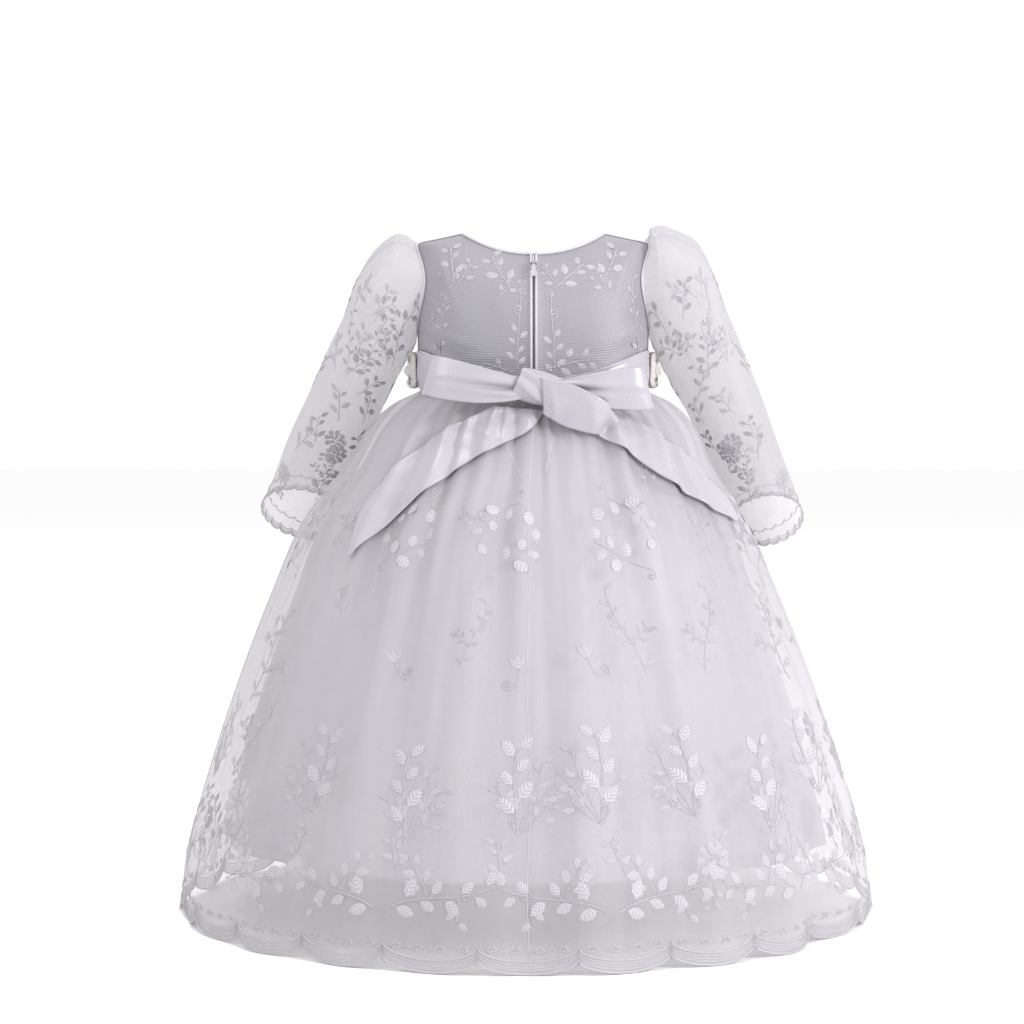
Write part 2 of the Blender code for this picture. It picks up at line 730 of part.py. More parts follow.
def make_lining() -> list:
    """Make the lining's front and back, which end above the hem."""
    trim = math.degrees(SEAM_GAP / 2.0 / LINING[0].half_width)
    spans = {"skirt_lining_back": -QUARTER_TURN, "skirt_lining_front": QUARTER_TURN}
    pieces = []
    for name, start in spans.items():
        steps = LINING_STEPS // 2
        azimuths = [start + HALF_TURN * i / steps for i in range(steps + 1)]
        azimuths[0] += trim
        azimuths[-1] -= trim
        rows = [[lining_point(azimuth, level) for azimuth in azimuths] for level in LINING_LEVELS]
        pieces.append(wall(name, rows, TULLE, seams=around(start, start + HALF_TURN)))
    return pieces


def sash_edges(azimuth: float) -> tuple:
    """Give the sash's upper and lower edge: it narrows and dips towards the knot."""
    near = 1.0 - ease(abs(turn_between(azimuth, 0.0)) / SASH_DIP_REACH)
    return SASH_TOP - SASH_DIP * near, SASH_FOOT


def make_sash() -> list:
    """Make the satin band round the waist, open behind the knot."""
    rows = []
    for share, out in SASH:
        row = []
        for step in range(SASH_STEPS + 1):
            azimuth = SASH_END + (FULL_TURN - 2.0 * SASH_END) * step / SASH_STEPS
            top, foot = sash_edges(azimuth)
            lift = LIP_RISE * math.exp(-((turn_between(azimuth, 0.0) / SASH_LIP_REACH) ** 2))
            row.append(torso_point(azimuth, top + (foot - top) * share, out + lift))
        rows.append(row)
    return [wall("sash_band", rows, RIBBON)]


def make_trim() -> list:
    """Make the scalloped lace flowers across the front of the waist, from side to side."""
    turn = FULL_TURN - 2.0 * TRIM_START
    steps = TRIM_SCALLOPS * TRIM_STEPS_A_SCALLOP
    rows = []
    for share in (0.0, 0.5, 1.0):
        row = []
        for step in range(steps + 1):
            place = step / TRIM_STEPS_A_SCALLOP
            edge = scallop(place) * TRIM_SCALLOP_DEPTH
            height = SASH_TOP - TRIM_INSET - edge + (SASH_FOOT + TRIM_INSET - SASH_TOP + 2.0 * edge) * share
            arch = math.sin(math.pi * (TRIM_BUMP_EDGE + (1.0 - 2.0 * TRIM_BUMP_EDGE) * share))
            bump = abs(math.sin(math.pi * place)) * arch * TRIM_BUMP
            row.append(torso_point(TRIM_START + turn * step / steps, height, TRIM_LIFT + bump))
        rows.append(row)
    return [wall("waist_flower_trim", rows, LACE_TRIM)]


def loop_grid(rows: tuple, hand: int) -> list:
    """List the columns of a bow loop from its upper to its lower edge, along the ribbon."""
    places = resample(rows, LOOP_STEPS)
    grid = []
    for column in range(LOOP_COLUMNS + 1):
        across = 1.0 - 2.0 * column / LOOP_COLUMNS
        line = []
        for place in places:
            x = place.out + place.slant * place.half_height * across
            line.append(Vector((hand * x, place.depth, place.centre_z + place.half_height * across)))
        grid.append(line)
    return grid


def make_bow() -> list:
    """Make the two loops, the knot round their necks, and the two tails."""
    pieces = []
    for name, rows, hand in (("left", LOOP_LEFT, -1), ("right", LOOP_RIGHT, 1)):
        grid = loop_grid(rows, hand)
        grid = grid if hand > 0 else [row[::-1] for row in grid]
        pieces.append(wall(f"bow_loop_{name}", grid, RIBBON))
    pieces.append(make_knot())
    pieces += [make_tail("left", TAIL_LEFT, -1), make_tail("right", TAIL_RIGHT, 1)]
    return pieces


def make_knot() -> bpy.types.Object:
    """Make the knot: a soft band wrapped round the necks of the loops, open at both ends."""
    rows = []
    for i in range(KNOT_ROWS + 1):
        share = 2.0 * i / KNOT_ROWS - 1.0
        row = []
        for j in range(KNOT_STEPS):
            angle = math.tau * j / KNOT_STEPS
            size = (1.0 - KNOT_TAPER * share**2) * (1.0 + KNOT_RIPPLE * math.cos(4.0 * angle + 2.0 * share))
            x = share * KNOT_HALF.x + KNOT_LEAN * math.cos(angle)
            y = -math.sin(angle) * KNOT_HALF.y * size
            z = math.cos(angle) * KNOT_HALF.z * size - share * KNOT_DROP
            row.append(KNOT_CENTRE + Vector((x, y, z)))
        rows.append(row)
    return wall("bow_knot", rows, RIBBON, closed=True)


def make_tail(name: str, rows: tuple, hand: int) -> bpy.types.Object:
    """Make a ribbon tail that lies over the skirt, cut on the slant at its end."""
    places = resample(rows, TAIL_ROWS)
    grid = []
    for place in places:
        line = []
        for column in range(TAIL_COLUMNS + 1):
            share = column / TAIL_COLUMNS
            azimuth = place.upper_azimuth + (place.under_azimuth - place.upper_azimuth) * share
            height = place.upper_z + (place.under_z - place.upper_z) * share
            bulge = TAIL_BULGE * math.sin(math.pi * share)
            line.append(overlay_point(azimuth, height, TAIL_LIFT + GATHER_DEPTH + bulge))
        grid.append(line)
    grid = grid if hand > 0 else [row[::-1] for row in grid]
    return wall(f"sash_tail_{name}", grid, RIBBON)


def back_slope(height: float) -> tuple:
    """Give the centre back's outer point, its direction out and its direction down at a height."""
    point = torso_point(0.0, height)
    above, below = (torso_point(0.0, height + reach) for reach in (SLOPE_REACH, -SLOPE_REACH))
    down = (below - above).normalized()
    out = Vector((1.0, 0.0, 0.0)).cross(down) * -1.0
    return point, out if out.y < 0.0 else -out, down


def make_tape() -> bpy.types.Object:
    """Make the zip's tape, which shows dark between the two lips."""
    rows = []
    for i in range(TAPE_ROWS + 1):
        height = TAPE_TOP + (TAPE_FOOT - TAPE_TOP) * i / TAPE_ROWS
        point, out, _ = back_slope(height)
        under = point - out * (BODICE_CLOTH + SEAM_GAP * 2.0)
        rows.append([under + Vector((TAPE_WIDTH * (j / 2.0 - 0.5), 0.0, 0.0)) for j in range(3)])
    return wall("zip_tape", rows, TULLE)


def box(mesh: bmesh.types.BMesh, size: Vector, centre: Vector) -> None:
    """Add a box to a mesh."""
    made = bmesh.ops.create_cube(mesh, size=1.0)
    bmesh.ops.scale(mesh, vec=size, verts=made["verts"])
    bmesh.ops.translate(mesh, vec=centre, verts=made["verts"])


def rod(name: str, radius: float, length: float, sides: int = 12) -> bpy.types.Object:
    """Make a round rod along X at the origin."""
    mesh = bmesh.new()
    turn = Matrix.Rotation(math.pi / 2.0, 4, "Y")
    bmesh.ops.create_cone(
        mesh, cap_ends=True, segments=sides, radius1=radius, radius2=radius, depth=length, matrix=turn
    )
    return finished(name, mesh)


def joined(base: bpy.types.Object, other: bpy.types.Object, operation: str) -> None:
    """Join a piece to another, or cut it with one, and keep the second as a guide."""
    bpy.data.collections[GOWN].objects.unlink(other)
    bpy.data.collections["guides"].objects.link(other)
    other.hide_render = True
    other.display_type = "WIRE"
    cut = base.modifiers.new(other.name, "BOOLEAN")
    cut.operation = operation
    cut.object = other


def make_slider() -> list:
    """Make the zip's slider with its hinge pin, and the tab that hangs on it."""
    point, out, down = back_slope(SLIDER_HEIGHT)
    seat = point + out * (SLIDER_LIFT + SLIDER.y / 2.0)
    pose = Matrix((Vector((1.0, 0.0, 0.0)), -out, -down)).transposed().to_4x4()
    pose.translation = seat
    mesh = bmesh.new()
    box(mesh, SLIDER, Vector())
    slider = finished("zip_slider", mesh)
    bevel = slider.modifiers.new("rounded", "BEVEL")
    bevel.width = SLIDER_ROUNDING
    bevel.segments = 2
    lug_depth = PIN_REACH + PIN_RADIUS * LUG_ROUND_PIN
    lug_x = EYE_WIDTH / 2.0 + EYE_CLEARANCE + LUG_WIDTH / 2.0
    for number, hand in enumerate((-1, 1)):
        mesh = bmesh.new()
        size = Vector((LUG_WIDTH, lug_depth + LUG_SINK, PIN_RADIUS * LUG_ROUND_PIN * 2.0))
        box(mesh, size, Vector((hand * lug_x, (LUG_SINK - SLIDER.y - lug_depth) / 2.0, PIN_RISE)))
        joined(slider, finished(f"lug_{number}", mesh), "UNION")
    pin = rod("pin", PIN_RADIUS, 2.0 * lug_x)
    pin_place = Vector((0.0, -SLIDER.y / 2.0 - PIN_REACH, PIN_RISE))
    pin.data.transform(Matrix.Translation(pin_place))
    joined(slider, pin, "UNION")
    slider.matrix_world = pose
    for modifier in slider.modifiers:
        if modifier.type == "BOOLEAN":
            modifier.object.matrix_world = pose

    eye_radius = PIN_RADIUS + EYE_CLEARANCE + EYE_WALL
    tab = rod("zip_pull_tab", eye_radius, EYE_WIDTH, 16)
    mesh = bmesh.new()
    box(
        mesh,
        Vector((TAB_WIDTH, TAB_THICKNESS, TAB_LENGTH)),
        Vector((0.0, 0.0, -TAB_LENGTH / 2.0 - SLIDER.z / 2.0 - PIN_RISE + TAB_RISE)),
    )
    blade = finished("tab_blade", mesh)
    mesh = bmesh.new()
    box(mesh, Vector((EYE_WIDTH, TAB_THICKNESS, TAB_NECK_LENGTH)), Vector((0.0, 0.0, -TAB_NECK_DROP)))
    neck = finished("tab_neck", mesh)
    joined(tab, blade, "UNION")
    joined(tab, neck, "UNION")
    hole = rod("tab_hole", PIN_RADIUS + EYE_CLEARANCE, EYE_WIDTH * 2.0)
    joined(tab, hole, "DIFFERENCE")
    place = pose @ Matrix.Translation(pin_place)
    for item in (tab, blade, neck, hole):
        item.matrix_world = place
    return [slider, tab]


def material(name: str, colour: tuple, roughness: float, metallic: float = 0.0) -> bpy.types.Material:
    """Make a plain material."""
    made = bpy.data.materials.new(name)
    made.use_nodes = True
    shader = made.node_tree.nodes["Principled BSDF"]
    shader.inputs["Base Color"].default_value = (*colour, 1.0)
    shader.inputs["Roughness"].default_value = roughness
    shader.inputs["Metallic"].default_value = metallic
    return made


def dress(pieces: list, colour: tuple, roughness: float, metallic: float = 0.0) -> None:
    """Give each piece a material of its own."""
    for piece in pieces:
        piece.data.materials.append(material(piece.name, colour, roughness, metallic))


def main() -> None:
    """Clear the scene and make the gown."""
    for item in list(bpy.data.objects):
        bpy.data.objects.remove(item)
    for name in (GOWN, "guides"):
        group = bpy.data.collections.new(name)
        bpy.context.scene.collection.children.link(group)
    dress(make_bodice(), (0.87, 0.85, 0.88), 0.7)
    dress(make_overlay(), (0.85, 0.84, 0.88), 0.8)
    dress(make_lining(), (0.80, 0.79, 0.82), 0.7)
    dress(make_sleeve("left", SLEEVE_LEFT, CUFF_LEFT, -1), (0.84, 0.83, 0.87), 0.8)
    dress(make_sleeve("right", SLEEVE_RIGHT, CUFF_RIGHT, 1), (0.84, 0.83, 0.87), 0.8)
    dress(make_sash(), (0.90, 0.89, 0.92), 0.35)
    dress(make_bow(), (0.90, 0.89, 0.92), 0.35)
    dress(make_trim(), (0.86, 0.82, 0.76), 0.7)
    dress([make_tape()], (0.30, 0.29, 0.31), 0.6)
    dress(make_slider(), (0.62, 0.61, 0.63), 0.35, 0.9)


main()
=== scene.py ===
"""Dressed model of a christening gown: tulle, lining, lace, satin and embroidery over the frame's solids.

Metres, +Z up. The back of the gown faces -Y and the wearer's right is +X. Azimuths turn from the centre back
towards the wearer's right. A form is a smooth surface read at (across, up), where across runs to the right as
seen from outside.
"""

from __future__ import annotations

import json
import logging
import math
from dataclasses import dataclass, field
from enum import Enum

import bpy
import numpy as np
from mathutils import Matrix, Vector

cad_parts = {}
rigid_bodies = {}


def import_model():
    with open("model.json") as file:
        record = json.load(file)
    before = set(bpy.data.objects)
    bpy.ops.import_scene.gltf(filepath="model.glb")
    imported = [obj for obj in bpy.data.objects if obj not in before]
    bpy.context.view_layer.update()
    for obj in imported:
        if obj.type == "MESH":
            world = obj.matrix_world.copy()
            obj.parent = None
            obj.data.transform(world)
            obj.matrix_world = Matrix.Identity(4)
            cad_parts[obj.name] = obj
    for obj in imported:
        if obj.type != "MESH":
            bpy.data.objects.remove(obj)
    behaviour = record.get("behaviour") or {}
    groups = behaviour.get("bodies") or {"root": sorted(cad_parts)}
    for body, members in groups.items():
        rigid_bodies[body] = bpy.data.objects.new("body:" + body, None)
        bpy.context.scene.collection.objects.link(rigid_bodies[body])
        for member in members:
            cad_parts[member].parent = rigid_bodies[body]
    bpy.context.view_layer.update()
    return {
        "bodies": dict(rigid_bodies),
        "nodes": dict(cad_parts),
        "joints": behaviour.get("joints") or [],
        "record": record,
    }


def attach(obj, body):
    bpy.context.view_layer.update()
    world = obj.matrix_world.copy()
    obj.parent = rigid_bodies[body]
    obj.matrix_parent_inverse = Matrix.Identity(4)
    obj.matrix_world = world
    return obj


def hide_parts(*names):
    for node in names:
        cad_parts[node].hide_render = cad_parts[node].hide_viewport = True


LOG = logging.getLogger("gown")
MILLIMETRE = 0.001
THREAD_LIFT = 0.00015
GARMENT = "garment"

# The armhole, as the solids have it: heights, the turn of its deepest point, and how early it is reached
SHOULDER = -0.008
ARMPIT = -0.083
ARMHOLE_TURN = 24.0
ARMHOLE_CURVE = 0.8

# The tables give the forms as the solids have them, in metres and degrees

# height, half width, half depth
TORSO = (
    (0.000, 0.0600, 0.0000),
    (-0.002, 0.0690, 0.0140),
    (-0.004, 0.0780, 0.0200),
    (-0.008, 0.0960, 0.0280),
    (-0.012, 0.0972, 0.0340),
    (-0.018, 0.0975, 0.0400),
    (-0.027, 0.0975, 0.0475),
    (-0.040, 0.0972, 0.0555),
    (-0.055, 0.0970, 0.0620),
    (-0.070, 0.0970, 0.0665),
    (-0.083, 0.0970, 0.0690),
    (-0.105, 0.0965, 0.0715),
    (-0.130, 0.0955, 0.0730),
)
# height, half width, half depth, shift to the right, share of the gathers, share of the folds
SKIRT = (
    (-0.1285, 0.0955, 0.0730, 0.000, 0.0, 0.00),
    (-0.1320, 0.0960, 0.0735, 0.000, 0.0, 0.00),
    (-0.1420, 0.1160, 0.0770, 0.000, 0.3, 0.03),
    (-0.1640, 0.1370, 0.0970, -0.001, 1.2, 0.12),
    (-0.1950, 0.1530, 0.1230, -0.003, 1.2, 0.25),
    (-0.2400, 0.1860, 0.1580, -0.006, 0.8, 0.38),
    (-0.3000, 0.2130, 0.1920, -0.006, 0.3, 0.52),
    (-0.3750, 0.2430, 0.2260, -0.006, 0.0, 0.68),
    (-0.4500, 0.2690, 0.2540, -0.006, 0.0, 0.84),
    (-0.5200, 0.2890, 0.2770, -0.006, 0.0, 0.96),
    (-0.5710, 0.2960, 0.2850, -0.006, 0.0, 1.00),
)
# height, half width, half depth, shift to the right, share of the waves
LINING = (
    (-0.1285, 0.0932, 0.0706, 0.000, 0.0),
    (-0.1320, 0.0936, 0.0710, 0.000, 0.0),
    (-0.1420, 0.1070, 0.0733, 0.000, 0.0),
    (-0.1640, 0.1250, 0.0870, -0.001, 0.4),
    (-0.1950, 0.1400, 0.1100, -0.003, 0.5),
    (-0.2400, 0.1690, 0.1420, -0.006, 0.6),
    (-0.3000, 0.1920, 0.1720, -0.006, 0.7),
    (-0.3750, 0.2170, 0.2020, -0.006, 0.9),
    (-0.4500, 0.2380, 0.2240, -0.006, 1.0),
    (-0.5100, 0.2520, 0.2390, -0.006, 1.1),
)
# azimuth, reach, rise
FOLDS = (
    (0.0, 5.0, -0.005),
    (-20.0, 7.0, -0.004),
    (-38.0, 8.0, -0.006),
    (-56.0, 7.0, -0.004),
    (-76.0, 8.0, -0.006),
    (22.0, 7.0, -0.007),
    (38.0, 6.0, -0.004),
    (55.0, 8.0, -0.013),
    (76.0, 7.0, -0.005),
    (47.0, 5.0, 0.003),
    (-47.0, 5.0, 0.002),
    (100.0, 8.0, -0.007),
    (119.0, 7.0, -0.010),
    (138.0, 8.0, -0.005),
    (158.0, 7.0, -0.011),
    (178.0, 8.0, -0.006),
    (197.0, 7.0, -0.009),
    (216.0, 8.0, -0.005),
    (235.0, 7.0, -0.009),
    (256.0, 8.0, -0.010),
)
# upper edge: distance from the centre plane, height; under edge: the same; then how far forward, half depth
# and share of the gathers
SLEEVE_LEFT = (
    (0.1070, -0.0040, 0.1000, -0.0876, 0.000, 0.034, 1.0),
    (0.1155, -0.0030, 0.1017, -0.0918, 0.001, 0.037, 1.0),
    (0.1275, -0.0100, 0.1035, -0.0960, 0.003, 0.039, 0.9),
    (0.1377, -0.0204, 0.1055, -0.1003, 0.006, 0.039, 0.7),
    (0.1490, -0.0390, 0.1090, -0.1070, 0.010, 0.037, 0.4),
    (0.1590, -0.0655, 0.1130, -0.1157, 0.016, 0.035, 0.2),
    (0.1743, -0.0947, 0.1210, -0.1300, 0.027, 0.033, 0.0),
    (0.1920, -0.1315, 0.1340, -0.1575, 0.047, 0.032, 0.0),
    (0.2130, -0.1730, 0.1527, -0.2000, 0.072, 0.032, 0.0),
    (0.2280, -0.2090, 0.1625, -0.2340, 0.094, 0.033, 0.0),
    (0.2400, -0.2336, 0.1660, -0.2530, 0.108, 0.036, 0.0),
)
SLEEVE_RIGHT = (
    (0.0990, 0.0020, 0.0995, -0.0860, 0.000, 0.034, 1.0),
    (0.1090, 0.0040, 0.1010, -0.0900, 0.001, 0.037, 1.0),
    (0.1250, -0.0015, 0.1030, -0.0948, 0.003, 0.039, 0.9),
    (0.1394, -0.0100, 0.1058, -0.0995, 0.006, 0.039, 0.7),
    (0.1513, -0.0315, 0.1090, -0.1070, 0.010, 0.037, 0.4),
    (0.1608, -0.0570, 0.1140, -0.1170, 0.016, 0.035, 0.2),
    (0.1735, -0.0840, 0.1220, -0.1326, 0.027, 0.033, 0.0),
    (0.1946, -0.1300, 0.1365, -0.1575, 0.047, 0.032, 0.0),
    (0.2134, -0.1765, 0.1537, -0.2000, 0.072, 0.032, 0.0),
    (0.2305, -0.2170, 0.1690, -0.2400, 0.094, 0.033, 0.0),
    (0.2398, -0.2400, 0.1767, -0.2576, 0.108, 0.036, 0.0),
)
# the ribbon's middle: x towards the loop's end, y, z; then half width, lean of its width
LOOP_LEFT = (
    (0.008, -0.0845, -0.1290, 0.0075, -0.10),
    (0.024, -0.0825, -0.1285, 0.0108, -0.12),
    (0.046, -0.0790, -0.1262, 0.0140, -0.18),
    (0.069, -0.0760, -0.1222, 0.0158, -0.24),
    (0.083, -0.0770, -0.1192, 0.0163, -0.29),
    (0.0868, -0.0825, -0.1180, 0.0164, -0.30),
    (0.083, -0.0890, -0.1186, 0.0163, -0.29),
    (0.069, -0.0940, -0.1216, 0.0158, -0.24),
    (0.046, -0.0958, -0.1258, 0.0140, -0.18),
    (0.024, -0.0940, -0.1285, 0.0105, -0.12),
    (0.008, -0.0925, -0.1290, 0.0075, -0.10),
)
LOOP_RIGHT = (
    (0.014, -0.0845, -0.1280, 0.0040, 0.00),
    (0.030, -0.0825, -0.1292, 0.0080, -0.05),
    (0.052, -0.0795, -0.1298, 0.0132, -0.12),
    (0.076, -0.0755, -0.1292, 0.0165, -0.20),
    (0.0895, -0.0765, -0.1286, 0.0174, -0.24),
    (0.0935, -0.0825, -0.1285, 0.0175, -0.25),
    (0.0895, -0.0885, -0.1288, 0.0174, -0.24),
    (0.076, -0.0925, -0.1296, 0.0165, -0.20),
    (0.052, -0.0938, -0.1302, 0.0132, -0.12),
    (0.030, -0.0920, -0.1294, 0.0080, -0.05),
    (0.014, -0.0905, -0.1280, 0.0040, 0.00),
)
# upper edge: azimuth, height; lower edge: azimuth, height
TAIL_LEFT = (
    (-15.6, -0.1435, 4.5, -0.1470),
    (-23.6, -0.1533, -1.6, -0.1634),
    (-30.1, -0.1605, -8.9, -0.1730),
    (-39.7, -0.1786, -18.9, -0.1865),
    (-45.9, -0.1988, -28.3, -0.2072),
    (-49.0, -0.2182, -36.0, -0.2329),
    (-47.2, -0.2457, -41.8, -0.2522),
    (-45.6, -0.2617, -44.5, -0.2640),
)
TAIL_RIGHT = (
    (17.0, -0.1400, 6.6, -0.1480),
    (22.0, -0.1415, 10.0, -0.1530),
    (30.0, -0.1445, 15.6, -0.1590),
    (38.1, -0.1527, 23.3, -0.1685),
    (47.0, -0.1658, 33.3, -0.1822),
    (58.0, -0.1810, 43.0, -0.2018),
    (67.0, -0.1983, 54.9, -0.2214),
    (70.0, -0.2199, 61.0, -0.2310),
    (69.5, -0.2360, 67.5, -0.2393),
)
# Where the right tail leaves the knot, its upper and then its lower edge, in front of the right loop
TAIL_START = (
    (0.0060, -0.0985, -0.1200, 0.0080, -0.0960, -0.1500),
    (0.0330, -0.1015, -0.1262, 0.0262, -0.1010, -0.1600),
    (0.0585, -0.1000, -0.1390, 0.0510, -0.0985, -0.1668),
    (0.0770, -0.0840, -0.1480, 0.0660, -0.0960, -0.1720),
)


class Slot(Enum):
    """The record's material slots."""

    BODICE = "bodice_lace"
    TULLE = "embroidered_tulle"
    LINING = "lining"
    SATIN = "satin"
    GUIPURE = "guipure_lace"
    TAPE = "zip_tape"
    METAL = "zip_metal"


class Weave(Enum):
    """How a finish's surface is woven."""

    PLAIN = "plain"
    RIBBED = "ribbed"
    NET = "net"
    SATIN = "satin"
    THREAD = "thread"
    METAL = "metal"
    TAPE = "tape"


def ease(share: np.ndarray) -> np.ndarray:
    """Rise gently from nought to one."""
    share = np.clip(share, 0.0, 1.0)
    return share * share * (3.0 - 2.0 * share)


def smooth_read(rows: tuple, at: np.ndarray) -> np.ndarray:
    """Read a table on a smooth curve between its rows.

    Args:
        rows: The rows, each a place and then the sizes there.
        at: The places to read.

    Returns:
        The sizes, one for each column after the first, on a new last axis.
    """
    table = np.array(rows, dtype=float)
    at = np.asarray(at, dtype=float)
    places, values = table[:, 0], table[:, 1:]
    if places[0] > places[-1]:
        places, at = -places, -at
    at = np.clip(at, places[0], places[-1])
    count = len(places)
    low = np.maximum(np.arange(count) - 1, 0)
    high = np.minimum(np.arange(count) + 1, count - 1)
    slopes = (values[high] - values[low]) / (places[high] - places[low])[:, None]
    index = np.clip(np.searchsorted(places, at, side="right") - 1, 0, count - 2)
    span = (places[index + 1] - places[index])[..., None]
    share = (at - places[index])[..., None] / span
    square, cube = share**2, share**3
    return (
        values[index] * (2 * cube - 3 * square + 1)
        + slopes[index] * span * (cube - 2 * square + share)
        + values[index + 1] * (3 * square - 2 * cube)
        + slopes[index + 1] * span * (cube - square)
    )


def numbered(rows: tuple) -> tuple:
    """Put each row's number before it, so that a table is read by place along it."""
    return tuple((float(i), *row) for i, row in enumerate(rows))


def together(*values: np.ndarray | float) -> list[np.ndarray]:
    """Give arrays of one shape."""
    return np.broadcast_arrays(*(np.asarray(value, dtype=float) for value in values))


def turn_between(first: np.ndarray, second: float) -> np.ndarray:
    """Give the turn from one azimuth to another, between half a turn back and half a turn on."""
    return (first - second + 180.0) % 360.0 - 180.0


def unit(vectors: np.ndarray) -> np.ndarray:
    """Scale vectors to length one."""
    return vectors / np.maximum(np.linalg.norm(vectors, axis=-1, keepdims=True), 1e-12)


def scallop(place: np.ndarray) -> np.ndarray:
    """Give how deep a scalloped edge is cut at a place counted in scallops."""
    return 1.0 - np.sqrt(np.abs(np.sin(np.pi * place)))


def armhole_place(fall: np.ndarray) -> tuple[np.ndarray, np.ndarray]:
    """Give the azimuth and the height of the armhole's edge at a share of its fall."""
    azimuth = 90.0 - ARMHOLE_TURN * np.sin(np.pi * fall**ARMHOLE_CURVE)
    return azimuth, SHOULDER + (ARMPIT - SHOULDER) * fall


def oval(sizes: np.ndarray, azimuth: np.ndarray, up: np.ndarray, out: np.ndarray) -> np.ndarray:
    """Give points of an upright oval whose sizes are half width, half depth and shift to the right."""
    angle = np.radians(azimuth)
    x = sizes[..., 2] + (sizes[..., 0] + out) * np.sin(angle)
    return np.stack([x, -(sizes[..., 1] + out) * np.cos(angle), up], axis=-1)


class Form:
    """A smooth surface of the gown."""

    steps: tuple[float, float] = (0.001, 0.001)

    def point(self, across: np.ndarray, up: np.ndarray, out: float = 0.0) -> np.ndarray:
        """Give points of the surface, moved outwards."""
        raise NotImplementedError

    def slopes(self, across: np.ndarray, up: np.ndarray) -> tuple[np.ndarray, np.ndarray]:
        """Give the change of the point for each unit across and up."""
        right, rise = self.steps
        along = (self.point(across + right, up) - self.point(across - right, up)) / (2.0 * right)
        above = (self.point(across, up + rise) - self.point(across, up - rise)) / (2.0 * rise)
        return along, above


@dataclass
class Torso(Form):
    """The bodice's oval body, where across is the distance from the centre plane."""

    front: bool = False
    squareness: float = 2.4

    def point(self, across: np.ndarray, up: np.ndarray, out: float = 0.0) -> np.ndarray:
        """Give points of the surface, moved outwards."""
        across, up, out = together(across, up, out)
        sizes = smooth_read(TORSO, up)
        width, depth = sizes[..., 0], sizes[..., 1]
        share = np.clip(np.abs(across) / width, 0.0, 1.0)
        side = np.clip(1.0 - share**self.squareness, 0.0, 1.0) ** (1.0 / self.squareness)
        x = np.sign(across) * share * (width + out)
        y = side * (depth + out)
        return np.stack([-x if self.front else x, y if self.front else -y, up], axis=-1)

    def round(self, azimuth: np.ndarray, up: np.ndarray, out: float = 0.0) -> np.ndarray:
        """Give points by azimuth instead of by distance from the centre plane."""
        azimuth, up, out = together(azimuth, up, out)
        angle, power = np.radians(azimuth), 2.0 / self.squareness
        side, along = np.sin(angle), -np.cos(angle)
        sizes = smooth_read(TORSO, up)
        x = np.sign(side) * np.abs(side) ** power * (sizes[..., 0] + out)
        y = np.sign(along) * np.abs(along) ** power * (sizes[..., 1] + out)
        return np.stack([x, y, up], axis=-1)


@dataclass
class Waistband(Form):
    """The bodice read by azimuth, for what runs round the waist."""

    torso: Torso = field(default_factory=Torso)
    lift: float = 0.0

    steps = (0.2, 0.0005)

    def point(self, across: np.ndarray, up: np.ndarray, out: float = 0.0) -> np.ndarray:
        """Give points of the surface, moved outwards."""
        return self.torso.round(across, up, self.lift + out)


